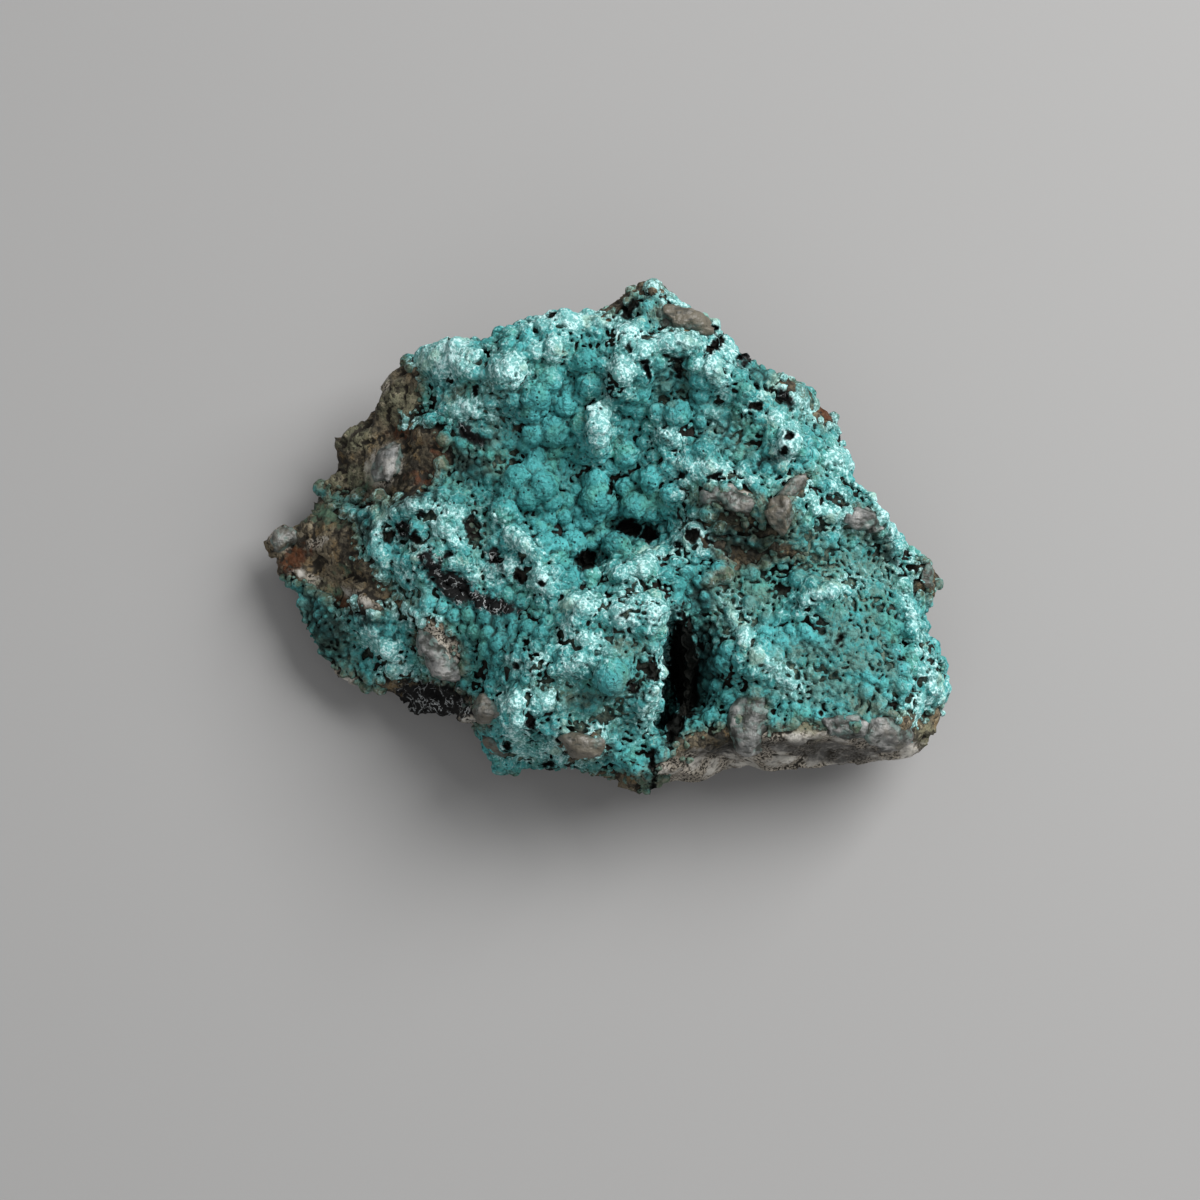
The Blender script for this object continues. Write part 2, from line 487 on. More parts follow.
def merged_copy(name, node):
    """A copy of a CAD node's mesh, with its loose triangles joined."""
    bm = bmesh.new()
    bm.from_mesh(node.data)
    bmesh.ops.remove_doubles(bm, verts=bm.verts, dist=MERGE_DISTANCE)
    return link_bmesh(name, bm)


# %% [markdown]
# ## The core rock
# Bare rock almost touches the CAD surface, crusted rock lies deeper, and the hollows and bulges move it
# further. Frost forms on the highs, so the rock swells under it. The foot stays flat on the ground.

# %% Make the core rock
CORE_VOXEL = 0.6 * MM
BARE_EDGE = 0.8  # millimetres over which the crust begins
FROST_EDGE = 1.4  # millimetres over which the swelling begins


def room_over(points, normals):
    """How far the core lies inside the CAD surface at each point, in metres.

    Crust takes more room than bare rock, and the walls carry none.
    """
    crusted = patch_share(points, BARE, BARE_EDGE, sign=-1.0)
    crusted *= facing_up(normals, low=-0.3, width=0.4)
    return BARE_ROOM + (CRUST_ROOM - BARE_ROOM) * crusted


def relief(points, forms):
    """How far a list of hollows or bulges moves each point, in metres: most in the middle of each."""
    places = seen_at(points)
    moved = np.zeros(len(points))
    for right, up, along, across, turn, depth in forms:
        inside = ellipse_depth(places, right, up, along, across, turn) / min(along, across)
        share = np.clip(inside, 0.0, 1.0)
        moved = np.maximum(moved, eased(share) * depth)
    return moved * MM


def frost_swell(points):
    """How far the rock swells under each point, in metres."""
    return eased(patch_share(points, FROST, FROST_EDGE)) * FROST_SWELL


def make_core():
    """The rock under the crust, in even faces."""
    core = merged_copy("core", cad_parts[NODE])
    remesh(core, CORE_VOXEL)
    points, normals = points_of(core.data), normals_of(core.data)
    upward = facing_up(normals, low=0.0, width=0.5)
    lowered = (relief(points, DIPS) + FROST_SWELL / 2 - frost_swell(points)) * upward
    resting = points[:, 2] < FOOT
    points += normals * (relief(points, BULGES) - room_over(points, normals))[:, None]
    points[:, 2] = np.where(resting, 0.0, np.maximum(points[:, 2] - lowered, 0.0))
    set_points(core.data, points)
    return core


core = make_core()
core_tree = BVHTree.FromObject(core, bpy.context.evaluated_depsgraph_get())
say(f"core rock: {len(core.data.polygons)} faces")


def on_rock(right, up):
    """The point of the core rock that the eye sees at a place on the sight plane.

    A place just outside the rock's outline gives the nearest point of its rim.
    """
    place = on_sight_plane(right, up)
    seen = core_tree.ray_cast(EYE, (place - EYE).normalized())[0]
    return seen or core_tree.find_nearest(place)[0]


# %% [markdown]
# ## Grains and bulbs
# A botryoidal crust is round at every size: bulbs a few millimetres across carry lumps, and the gaps
# between them are filled with grains. The large bulbs are placed by hand, because they make this rock
# the one it is. Their lumps and all the grains are scattered over a surface by Geometry Nodes, as
# points with a radius.

# %% Bulbs
BULBS = [
    (-10.1, 15.1, 0.9), (-7.9, 15.6, 1.8), (-8.3, 13.9, 1.1), (-6.3, 17.3, 1.5), (-2.3, 19.4, 1.4),
    (-1.8, 16.8, 1.6), (-4.5, 14.4, 1.3), (-2.9, 12.3, 1.2), (-8.0, 11.2, 1.3), (-5.7, 11.6, 1.7),
    (-9.8, 6.4, 1.6), (-8.0, 7.4, 1.5), (-7.0, 5.6, 1.8), (-8.6, 4.6, 1.6), (-10.6, 4.9, 1.2),
    (-6.0, 4.0, 1.2), (-7.6, 8.8, 1.1), (-11.3, 2.9, 1.6), (-1.0, 4.4, 1.9), (-1.2, 6.0, 1.5),
    (2.2, 9.1, 1.4), (1.9, 5.5, 1.0), (4.8, 6.4, 1.2), (3.1, 3.5, 1.7), (4.5, 2.9, 1.1),
    (6.9, 4.7, 1.0), (5.4, 2.4, 0.9), (-5.5, -1.4, 1.4), (-3.7, -0.8, 1.5), (-4.0, -4.5, 0.9),
    (-1.9, -4.2, 1.3), (1.1, -0.8, 1.5), (-0.5, 0.2, 1.0), (2.6, -0.4, 1.1), (1.5, -4.0, 0.9),
    (7.8, 13.6, 1.5), (5.7, 13.6, 1.1), (10.7, 9.7, 1.3), (6.5, 16.4, 0.5), (0.6, -15.3, 1.9),
    (12.4, -3.4, 0.9), (11.4, -4.5, 1.0), (10.3, -4.8, 0.6), (10.7, -6.5, 0.5), (3.3, 16.3, 1.6),
    (2.4, 14.8, 1.3), (4.0, 17.6, 1.2), (9.8, 19.0, 1.0), (10.1, 17.4, 1.1), (10.4, 15.8, 1.1),
    (10.7, 14.2, 1.0), (11.6, 13.8, 0.9), (10.2, 12.8, 0.8), (-1.0, 13.5, 1.3), (-0.9, 12.2, 1.3),
    (-0.9, 10.9, 1.2), (-1.1, 9.7, 0.9),
]
BULB_SINK = 0.1  # how far a bulb's middle lies under the crust's surface, as a share of its radius
bulb_sizes = [radius for right, up, radius in BULBS]
say(f"{len(BULBS)} bulbs, {min(bulb_sizes)} to {max(bulb_sizes)} mm in radius")

# %% [markdown]
# ## A small language for node trees
# Geometry and shader trees are built by the same few lines: make a node, set what is constant on its
# sockets, and link the rest. A tree's own sizes are named inputs, so one tree serves several pieces.

# %% Node helpers
def in_use(sockets, name):
    """The socket of this name that the node's settings leave in use."""
    return [socket for socket in sockets if socket.name == name and socket.enabled][0]


def add_node(tree, kind, inputs=None, **settings):
    """Adds a node, with its settings and its inputs: a socket is linked, anything else is a value."""
    made = tree.nodes.new(kind)
    for name, value in settings.items():
        setattr(made, name, value)
    for name, value in (inputs or {}).items():
        socket = made.inputs[name] if isinstance(name, int) else in_use(made.inputs, name)
        if isinstance(value, bpy.types.NodeSocket):
            tree.links.new(value, socket)
        else:
            socket.default_value = value
    return made


def calculate(tree, operation, *values):
    """One Math node's result."""
    made = add_node(tree, "ShaderNodeMath", dict(enumerate(values)), operation=operation)
    return made.outputs[0]


def vector_calculate(tree, operation, *values, output=0):
    """One Vector Math node's result."""
    made = add_node(tree, "ShaderNodeVectorMath", dict(enumerate(values)), operation=operation)
    return made.outputs[output]


def scaled(tree, vector, factor):
    """A vector times a number."""
    made = add_node(tree, "ShaderNodeVectorMath", {0: vector, "Scale": factor}, operation="SCALE")
    return made.outputs[0]


# %% [markdown]
# ## Geometry trees
# A geometry tree reads what it needs of each point, moves the points and stores numbers on them. It runs
# as a modifier whose inputs are set by their identifiers, and its result is read back as a plain mesh.

# %% Geometry tree helpers
def field(tree, kind):
    """What a geometry tree knows of each point: its Position or its Normal."""
    return tree.nodes.new("GeometryNodeInput" + kind).outputs[0]


def set_position(tree, geometry, **place):
    """Moves a geometry's points: Position says where to, or Offset how far."""
    return add_node(tree, "GeometryNodeSetPosition", {"Geometry": geometry, **place}).outputs[0]


def keep(tree, geometry, name, value):
    """Stores a number on each point, under a name."""
    inputs = {"Geometry": geometry, "Name": name, "Value": value}
    return add_node(tree, "GeometryNodeStoreNamedAttribute", inputs, data_type="FLOAT").outputs[0]


def end_tree(tree, geometry, made, material):
    """Ends a geometry tree: its instances made real, and its material set."""
    real = add_node(tree, "GeometryNodeRealizeInstances", {"Geometry": geometry})
    painted = add_node(
        tree, "GeometryNodeSetMaterial", {"Geometry": real.outputs[0], "Material": material}
    )
    tree.links.new(painted.outputs[0], made.inputs[0])


def new_geometry_tree(name, **inputs):
    """A geometry tree with named inputs. Gives the tree, its input node and its output node."""
    tree = bpy.data.node_groups.new(name, "GeometryNodeTree")
    tree.interface.new_socket("Geometry", in_out="INPUT", socket_type="NodeSocketGeometry")
    tree.interface.new_socket("Geometry", in_out="OUTPUT", socket_type="NodeSocketGeometry")
    for words, kind in inputs.items():
        tree.interface.new_socket(words, in_out="INPUT", socket_type="NodeSocket" + kind)
    return tree, tree.nodes.new("NodeGroupInput"), tree.nodes.new("NodeGroupOutput")


def run_tree(obj, tree, **values):
    """The mesh that a geometry tree makes from an object, with the tree's inputs set by identifier."""
    modifier = obj.modifiers.new(tree.name, "NODES")
    modifier.node_group = tree
    for item in tree.interface.items_tree:
        if item.in_out == "INPUT" and item.name in values:
            modifier[item.identifier] = values[item.name]
    bpy.context.view_layer.update()
    mesh = applied(obj)
    obj.modifiers.remove(modifier)
    return mesh


def float_attribute(mesh, name):
    """A mesh's number attribute as an array."""
    values = np.empty(len(mesh.vertices), np.float32)
    mesh.attributes[name].data.foreach_get("value", values)
    return values.astype(float)


def store_attribute(mesh, name, values):
    """Stores one number for each point of a mesh."""
    if name not in mesh.attributes:
        mesh.attributes.new(name, "FLOAT", "POINT")
    mesh.attributes[name].data.foreach_set("value", values.astype(np.float32))


# %% Patterns
MIDDLE_GREY = (0.5, 0.5, 0.5)  # taken from a random colour, this leaves a direction


def noise(tree, size, place=None, detail=2.0, seed=0.0, output="Fac"):
    """A noise field whose blobs are about this many millimetres wide, from 0 to 1."""
    inputs = {"Scale": 1.0 / (size * MM), "Detail": detail, "W": seed}
    if place is not None:
        inputs["Vector"] = place
    made = add_node(tree, "ShaderNodeTexNoise", inputs, noise_dimensions="4D")
    return made.outputs[output]


def cell_pattern(tree, size, place, feature="F1"):
    """The outputs of a pattern with cells about this many millimetres wide."""
    inputs = {"Scale": 1.0 / (size * MM), "Vector": place}
    return add_node(tree, "ShaderNodeTexVoronoi", inputs, feature=feature).outputs


def voronoi(tree, size, place, feature="F1"):
    """How far each place is from its cell's middle or, by another feature, from its edge."""
    return cell_pattern(tree, size, place, feature)["Distance"]


def add(tree, *values):
    """The sum of several values."""
    total = values[0]
    for value in values[1:]:
        total = calculate(tree, "ADD", total, value)
    return total


def times(tree, *values):
    """The product of several values."""
    total = values[0]
    for value in values[1:]:
        total = calculate(tree, "MULTIPLY", total, value)
    return total


def centred(tree, value, reach):
    """A noise from 0 to 1, turned into one that swings this far about zero."""
    return times(tree, calculate(tree, "SUBTRACT", value, 0.5), reach)


def ramp(tree, value, low, high):
    """0 below one value and 1 above another, with a smooth step between."""
    made = add_node(
        tree,
        "ShaderNodeMapRange",
        {"Value": value, "From Min": low, "From Max": high},
        interpolation_type="SMOOTHSTEP",
    )
    return made.outputs["Result"]


# %% [markdown]
# ## Scattering grains
# Grains that grew side by side keep a distance from each other, which is what Poisson scattering does. A
# slow noise lifts some grains and sinks others, so that they gather in mounds with gaps between.

# %% The scatter tree
GAP_SPREAD = 2.2  # millimetres from one gap to the next, more or less
MOUND_SPREAD = 4.0  # the same for the mounds
DENSEST = 5.0e7  # grains to the square metre, which is more than the spacing lets through


def attribute_of(tree, name):
    """A stored number, inside a geometry tree."""
    made = add_node(tree, "GeometryNodeInputNamedAttribute", {"Name": name}, data_type="FLOAT")
    return made.outputs["Attribute"]


def scatter_tree():
    """Points scattered evenly over a surface, each with a radius, as loose points of a mesh."""
    tree, given, made = new_geometry_tree(
        "scatter_grains",
        Spacing="Float",
        Smallest="Float",
        Largest="Float",
        Lift="Float",
        Mound="Float",
        Gap="Float",
        Seed="Int",
    )
    inputs = given.outputs
    gaps = ramp(tree, noise(tree, GAP_SPREAD, detail=1.0, seed=3.0), inputs["Gap"], 0.5)
    spread = add_node(
        tree,
        "GeometryNodeDistributePointsOnFaces",
        {
            "Mesh": inputs["Geometry"],
            "Distance Min": inputs["Spacing"],
            "Density Max": DENSEST,
            "Density Factor": calculate(tree, "MULTIPLY", attribute_of(tree, "cover"), gaps),
            "Seed": inputs["Seed"],
        },
        distribute_method="POISSON",
    )
    radius = add_node(
        tree,
        "FunctionNodeRandomValue",
        {"Min": inputs["Smallest"], "Max": inputs["Largest"], "Seed": inputs["Seed"]},
        data_type="FLOAT",
    )
    swell = calculate(tree, "SUBTRACT", noise(tree, MOUND_SPREAD, detail=1.0), 0.5)
    height = calculate(tree, "MULTIPLY_ADD", swell, inputs["Mound"], inputs["Lift"])
    lift = scaled(tree, spread.outputs["Normal"], height)
    lifted = set_position(tree, spread.outputs["Points"], Offset=lift)
    sized = keep(tree, lifted, "grain_radius", in_use(radius.outputs, "Value"))
    points = add_node(tree, "GeometryNodePointsToVertices", {"Points": sized})
    tree.links.new(points.outputs[0], made.inputs[0])
    return tree


scatter = scatter_tree()
say(f"the tree {scatter.name} has {len(scatter.nodes)} nodes")

# %% [markdown]
# ## Four sizes of grain
# Frost grows as mounds, and the rest as lumps and grains, with few lumps where the crust is sparse. Fine
# grains fill what is left. Walls and bare rock get none. Every size below is in millimetres.

# %% Scatter grains
CRUST_EDGE = 1.2  # millimetres over which each kind of cover begins
MOUND_EDGE = 0.6
SPARSE_EDGE = 2.0
FROST_THINNING = 0.85  # the share of lumps and grains that frost leaves out
SPARSE_THINNING = 0.75  # the share of lumps that a sparse crust leaves out


def scattered(obj, cover, spacing, smallest, largest, lift, seed, mound=0.0, gap=0.0):
    """Centres and radii of grains scattered over an object where its cover is high, in metres."""
    store_attribute(obj.data, "cover", cover)
    mesh = run_tree(
        obj,
        scatter,
        Spacing=spacing * MM,
        Smallest=smallest * MM,
        Largest=largest * MM,
        Lift=lift * MM,
        Mound=mound * MM,
        Gap=gap,
        Seed=seed,
    )
    grains = np.column_stack((points_of(mesh), float_attribute(mesh, "grain_radius")))
    bpy.data.meshes.remove(mesh)
    return grains


def crust_cover(points, normals):
    """How much crust grows at each point: none on walls and bare rock."""
    return patch_share(points, BARE, CRUST_EDGE, sign=-1.0) * facing_up(normals, low=-0.15, width=0.3)


core_points = points_of(core.data)
cover = crust_cover(core_points, normals_of(core.data))
frosted = patch_share(core_points, FROST, MOUND_EDGE)
sparse = patch_share(core_points, SPARSE, SPARSE_EDGE)
unfrosted = cover * (1.0 - FROST_THINNING * frosted)
mounds = scattered(
    core, cover * frosted, spacing=1.35, smallest=0.65, largest=1.25, lift=-0.40, seed=5, mound=1.0
)
coarse = scattered(
    core,
    unfrosted * (1.0 - SPARSE_THINNING * sparse),
    spacing=1.6,
    smallest=0.65,
    largest=1.05,
    lift=0.10,
    seed=1,
    mound=1.3,
    gap=0.44,
)
medium = scattered(
    core, unfrosted, spacing=0.86, smallest=0.36, largest=0.60, lift=0.14, seed=2, mound=1.0, gap=0.38
)
fine = scattered(core, cover, spacing=0.46, smallest=0.26, largest=0.36, lift=0.06, seed=4, mound=0.4)
say(f"{len(mounds)} mounds, {len(coarse)} lumps, {len(medium)} grains, {len(fine)} small grains")


# %% [markdown]
# ## Lumps on the bulbs
# A bulb is knobbly too. Its lumps are scattered over a ball of its size, a little sunk into it.

# %% Dress the bulbs
BALL_SUBDIVISIONS = 3


def bulb_grains():
    """Centres and radii of the hand-placed bulbs."""
    grains = []
    for right, up, radius in BULBS:
        centre = on_rock(right, up) + Vector((0.0, 0.0, CRUST_ROOM - BULB_SINK * radius * MM))
        grains.append((*centre, radius * MM))
    return np.array(grains)


def balls(grains):
    """All the grains as plain balls in one mesh, for scattering on."""
    bm = bmesh.new()
    for x, y, z, radius in grains:
        matrix = Matrix.Translation((x, y, z))
        bmesh.ops.create_icosphere(bm, subdivisions=BALL_SUBDIVISIONS, radius=radius, matrix=matrix)
    return link_bmesh("balls", bm)


bulbs = bulb_grains()
bulb_skin = balls(bulbs)
whole = np.ones(len(bulb_skin.data.vertices))
lumps = scattered(bulb_skin, whole, spacing=0.85, smallest=0.38, largest=0.62, lift=-0.30, seed=3)
bpy.data.objects.remove(bulb_skin)
say(f"{len(bulbs)} bulbs carry {len(lumps)} lumps")
all_grains = np.vstack((mounds, coarse, medium, fine, bulbs, lumps))

# %% [markdown]
# ## Growing the crust
# Thousands of overlapping balls have to become one skin. Boolean joins would take hours, and a voxel
# remesh of the balls needs their faces first. Points to Volume needs only centres and radii: it fills a
# fine grid of voxels, and Volume to Mesh wraps one surface around them, with soft creases where grains
# meet. The crust is grown in pieces, one for each part of the top, to keep each mesh a workable size.

# %% Grow the crust
CRUST_VOXEL = 0.18 * MM
SKIN_THRESHOLD = 0.1
SMOOTHING_PASSES = 3
REGIONS = {  # the middle of each piece on the sight plane
    "crust_north_rim": (-4.0, 21.0),
    "crust_basin": (-3.0, 7.0),
    "crust_west_shoulder": (-20.0, -2.0),
    "crust_west_basin": (-12.0, -10.0),
    "crust_front_lobe": (0.0, -17.0),
    "crust_east_field": (20.0, 8.0),
    "crust_east_plateau": (22.0, -11.0),
}


def blurred(tree, value, iterations, weight=0.5):
    """A vector field averaged over a mesh's neighbours."""
    made = add_node(
        tree,
        "GeometryNodeBlurAttribute",
        {"Value": value, "Iterations": iterations, "Weight": weight},
        data_type="FLOAT_VECTOR",
    )
    return made.outputs["Value"]


def growth_tree():
    """One skin around points that carry a radius."""
    tree, given, made = new_geometry_tree("grow_crust", Voxel="Float", Smoothing="Int")
    radius = attribute_of(tree, "grain_radius")
    points = add_node(
        tree, "GeometryNodeMeshToPoints", {"Mesh": given.outputs["Geometry"], "Radius": radius}
    )
    volume = add_node(
        tree,
        "GeometryNodePointsToVolume",
        {
            "Points": points.outputs[0],
            "Density": 1.0,
            "Voxel Size": given.outputs["Voxel"],
            "Radius": radius,
        },
        resolution_mode="VOXEL_SIZE",
    )
    skin = add_node(
        tree,
        "GeometryNodeVolumeToMesh",
        {"Volume": volume.outputs[0], "Voxel Size": given.outputs["Voxel"], "Threshold": SKIN_THRESHOLD},
        resolution_mode="VOXEL_SIZE",
    )
    even = blurred(tree, field(tree, "Position"), given.outputs["Smoothing"])
    tree.links.new(set_position(tree, skin.outputs[0], Position=even), made.inputs[0])
    return tree


growth = growth_tree()


def region_of(grains):
    """The number of the region whose middle is nearest to each grain."""
    places = seen_at(grains[:, :3])
    middles = np.array(list(REGIONS.values()))
    apart = ((places[:, None, :] - middles[None, :, :]) ** 2).sum(axis=2)
    return apart.argmin(axis=1)


def grow(name, grains):
    """Grows one crust piece around its grains."""
    seeds = bpy.data.meshes.new(name + "_seeds")
    seeds.from_pydata(grains[:, :3].tolist(), [], [])
    store_attribute(seeds, "grain_radius", grains[:, 3])
    carrier = link_object(name, seeds)
    carrier.data = run_tree(carrier, growth, Voxel=CRUST_VOXEL, Smoothing=SMOOTHING_PASSES)
    bpy.data.meshes.remove(seeds)
    return carrier


region = region_of(all_grains)
crusts = {}
for number, name in enumerate(REGIONS):
    crusts[name] = grow(name, all_grains[region == number])
say(f"{len(crusts)} crust pieces, {sum(len(piece.data.polygons) for piece in crusts.values())} faces")

# %% [markdown]
# ## The crust's material
# Chrysocolla is matte like fired clay, and blue-green from copper. Its highs bleach to a pale blue-white
# frost, and its gaps hold brown iron ore and dirt. Colour follows numbers that are stored on the mesh:
# how far a point stands out, how high it rises over the rock, and how deep it lies in each kind of
# patch. What crust and rock share is a node group with named inputs: a patch with a frayed edge, the
# fine grain that catches light, and the dirt that fills what is low.

# %% Shader helpers
def new_material(name, roughness, sheen):
    """A material, its tree and its Principled shader."""
    made = bpy.data.materials.new(name)
    made.use_nodes = True
    shader = made.node_tree.nodes["Principled BSDF"]
    shader.inputs["Roughness"].default_value = roughness
    shader.inputs["Specular IOR Level"].default_value = sheen
    return made, made.node_tree, shader


def stored_on(tree, name):
    """A stored number, inside a material."""
    return add_node(tree, "ShaderNodeAttribute", attribute_name=name).outputs["Fac"]


def here(tree):
    """The point's own place on the piece, in metres."""
    return tree.nodes.new("ShaderNodeTexCoord").outputs["Object"]


def mixed(tree, share, low, high):
    """A blend of two colours."""
    colours = [(*value, 1.0) if isinstance(value, tuple) else value for value in (low, high)]
    inputs = {"Factor": share, "A": colours[0], "B": colours[1]}
    made = add_node(tree, "ShaderNodeMix", inputs, data_type="RGBA")
    return in_use(made.outputs, "Result")


def new_group(name, inputs, outputs):
    """A shader node group with named sockets. Gives its tree, its inputs and its output node."""
    tree = bpy.data.node_groups.new(name, "ShaderNodeTree")
    for direction, sockets in (("INPUT", inputs), ("OUTPUT", outputs)):
        for words, kind in sockets.items():
            tree.interface.new_socket(words, in_out=direction, socket_type="NodeSocket" + kind)
    return tree, tree.nodes.new("NodeGroupInput").outputs, tree.nodes.new("NodeGroupOutput")


def use_group(tree, group, **inputs):
    """Places a group in a material, and gives its outputs."""
    return add_node(tree, "ShaderNodeGroup", inputs, node_tree=group).outputs


# %% [markdown]
# ## What crust and rock share
# A patch frays at its edge, because noise is added to its depth. Mineral grain is a height of crumbs. What
# weather leaves is the same everywhere: brown-black gaps, dirt, and black ore crossed by pale threads.

# %% Shared groups
DIRT_BLACK = (0.002, 0.003, 0.002)
GAP_BROWN = (0.007, 0.006, 0.004)
GAP_BLACK = (0.002, 0.002, 0.002)
PORE_SOOT = (0.004, 0.004, 0.004)
ORE_THREAD = (0.36, 0.38, 0.38)


def patch_group():
    """A patch whose edge frays: noise of this size is added to the depth before it becomes a mask."""
    numbers = dict.fromkeys(("Size", "Reach", "Seed", "Low", "High"), "Float")
    sockets = {"Depth": "Float", "Place": "Vector", **numbers}
    tree, given, made = new_group("frayed_patch", sockets, {"Mask": "Float", "Depth": "Float"})
    scale = calculate(tree, "DIVIDE", 1.0 / MM, given["Size"])
    inputs = {"Vector": given["Place"], "Scale": scale, "Detail": 4.0, "W": given["Seed"]}
    rough = add_node(tree, "ShaderNodeTexNoise", inputs, noise_dimensions="4D").outputs["Fac"]
    depth = add(tree, centred(tree, rough, given["Reach"]), given["Depth"])
    tree.links.new(ramp(tree, depth, given["Low"], given["High"]), made.inputs["Mask"])
    tree.links.new(depth, made.inputs["Depth"])
    return tree


def grain_group():
    """A height for mineral grain: crumbs of one size with finer roughness on them."""
    tree, given, made = new_group("mineral_grain", dict(Place="Vector", Size="Float"), {"Height": "Float"})
    scale = calculate(tree, "DIVIDE", 1.0 / MM, given["Size"])
    crumbs = add_node(tree, "ShaderNodeTexVoronoi", {"Vector": given["Place"], "Scale": scale})
    fine = {"Vector": given["Place"], "Scale": times(tree, scale, 2.0), "Detail": 4.0}
    rough = add_node(tree, "ShaderNodeTexNoise", fine).outputs["Fac"]
    tree.links.new(add(tree, rough, times(tree, crumbs.outputs["Distance"], -0.8)), made.inputs["Height"])
    return tree


def blackened_group():
    """What weather leaves on any surface here: dark pits, dirt, and black ore with pale threads."""
    sockets = dict(Colour="Color", Place="Vector", Pit="Float", Dirt="Float", Soot="Float")
    tree, given, made = new_group("blackened", sockets, {"Colour": "Color"})
    place = given["Place"]
    slow = noise(tree, 5.0, place, detail=3.0, seed=1.0)
    gap_colour = mixed(tree, ramp(tree, slow, 0.4, 0.6), GAP_BLACK, GAP_BROWN)
    colour = mixed(tree, given["Pit"], given["Colour"], gap_colour)
    colour = mixed(tree, times(tree, given["Dirt"], 0.8), colour, DIRT_BLACK)
    curl = noise(tree, 0.9, place, detail=3.0, seed=25.0)
    thread = ramp(tree, calculate(tree, "ABSOLUTE", centred(tree, curl, 1.0)), 0.028, 0.010)
    threaded = ramp(tree, noise(tree, 1.2, place, seed=26.0), 0.46, 0.58)
    ore = mixed(tree, times(tree, thread, threaded, 0.75), PORE_SOOT, ORE_THREAD)
    tree.links.new(mixed(tree, given["Soot"], colour, ore), made.inputs["Colour"])
    return tree


frayed_patch, mineral_grain, blackened = patch_group(), grain_group(), blackened_group()
say(f"shader groups: {frayed_patch.name}, {mineral_grain.name}, {blackened.name}")


def frayed(tree, edges, name, place, extra=None):
    """A stored patch with a frayed edge, by its row in a table of edges: its Mask and its Depth."""
    size, reach, low, high, seed = edges[name]
    depth = stored_on(tree, name)
    if extra is not None:
        depth = add(tree, depth, extra)
    values = dict(Depth=depth, Place=place, Size=size, Reach=reach, Seed=seed, Low=low, High=high)
    return use_group(tree, frayed_patch, **values)


def bumped(tree, shader, height, strength, depth):
    """Makes a height, this many millimetres deep, catch the light."""
    inputs = {"Strength": strength, "Distance": depth * MM, "Height": height}
    bump = add_node(tree, "ShaderNodeBump", inputs)
    tree.links.new(bump.outputs["Normal"], shader.inputs["Normal"])


# %% Colours
ROCK_BROWN = (0.150, 0.124, 0.082)
ROCK_DARK = (0.024, 0.021, 0.016)
ROCK_TAN = (0.270, 0.235, 0.165)
ROCK_OCHRE = (0.185, 0.130, 0.065)
ROCK_OLIVE = (0.175, 0.175, 0.112)
ROCK_RUST = (0.075, 0.028, 0.012)
ROCK_GREEN = (0.060, 0.130, 0.085)
QUARTZ_GREY = (0.310, 0.298, 0.268)
QUARTZ_DARK = (0.038, 0.037, 0.036)
QUARTZ_PALE = (0.480, 0.460, 0.415)
DEEP_TEAL = (0.027, 0.175, 0.170)
BRIGHT_TEAL = (0.064, 0.335, 0.342)
GREEN_TEAL = (0.070, 0.275, 0.225)
PALE_TEAL = (0.122, 0.410, 0.420)
FROST_BLUE = (0.158, 0.385, 0.372)
FROST_WHITE = (0.495, 0.735, 0.725)
FROST_YELLOW = (0.280, 0.440, 0.360)
OLIVE_BROWN = (0.070, 0.070, 0.030)
MOTTLE_OLIVE = (0.110, 0.155, 0.118)
CREASE = (0.004, 0.022, 0.021)
HOLLOW_DARK = (0.018, 0.052, 0.045)


# %% [markdown]
# ## Blue-green crust
# Copper gives the colour, and water gives its changes: a slow noise goes from deep to bright, another
# makes it greener, and what stands out is paler. Iron turns it olive-brown in patches and beside bare rock.

# %% Crust colour
CRUST_EDGES = {  # size of the fraying and its reach, the depths where a patch starts and is full, seed
    "olive": (1.0, 3.0, -0.2, 0.8, 4.0),
    "bare": (1.0, 2.4, -1.2, 0.1, 14.0),
    "sparse": (2.0, 3.0, -1.0, 1.0, 24.0),
    "frost": (2.6, 1.8, -0.25, 0.40, 8.0),
    "shade": (2.0, 3.0, -1.0, 1.4, 19.0),
    "dirt": (0.9, 3.4, -0.5, 1.2, 15.0),
    "soot": (0.9, 2.8, -0.5, 0.3, 6.0),
}


def crust_colour(tree, place, out, quick, tiny, grain):
    """Blue-green, deeper in some places, greener in others, paler where a grain stands out."""
    slow = noise(tree, 5.0, place, detail=3.0, seed=1.0)
    colour = mixed(tree, ramp(tree, slow, 0.36, 0.64), DEEP_TEAL, BRIGHT_TEAL)
    greener = ramp(tree, noise(tree, 3.0, place, seed=5.0), 0.5, 0.7)
    colour = mixed(tree, greener, colour, GREEN_TEAL)
    pale = times(tree, ramp(tree, out, -0.01, 0.08), 0.26)
    pale = add(tree, pale, times(tree, ramp(tree, grain, 0.40, 0.10), 0.22))
    colour = mixed(tree, pale, colour, PALE_TEAL)
    colour = mixed(tree, times(tree, ramp(tree, tiny, 0.54, 0.70), 0.5), colour, PALE_TEAL)
    colour = mixed(tree, times(tree, ramp(tree, tiny, 0.46, 0.30), 0.8), colour, DEEP_TEAL)
    olive = frayed(tree, CRUST_EDGES, "olive", place)["Mask"]
    edge = frayed(tree, CRUST_EDGES, "bare", place)["Mask"]
    brown = calculate(tree, "MAXIMUM", times(tree, olive, 0.7), times(tree, edge, 0.85))
    earth = mixed(tree, ramp(tree, quick, 0.4, 0.6), OLIVE_BROWN, ROCK_BROWN)
    return mixed(tree, brown, colour, earth)


# %% [markdown]
# ## Between the grains
# The gaps show what is under the crust: olive and black specks where it is thin, and brown-black dirt
# where it is thick. How low a place lies is read from the numbers on the mesh.

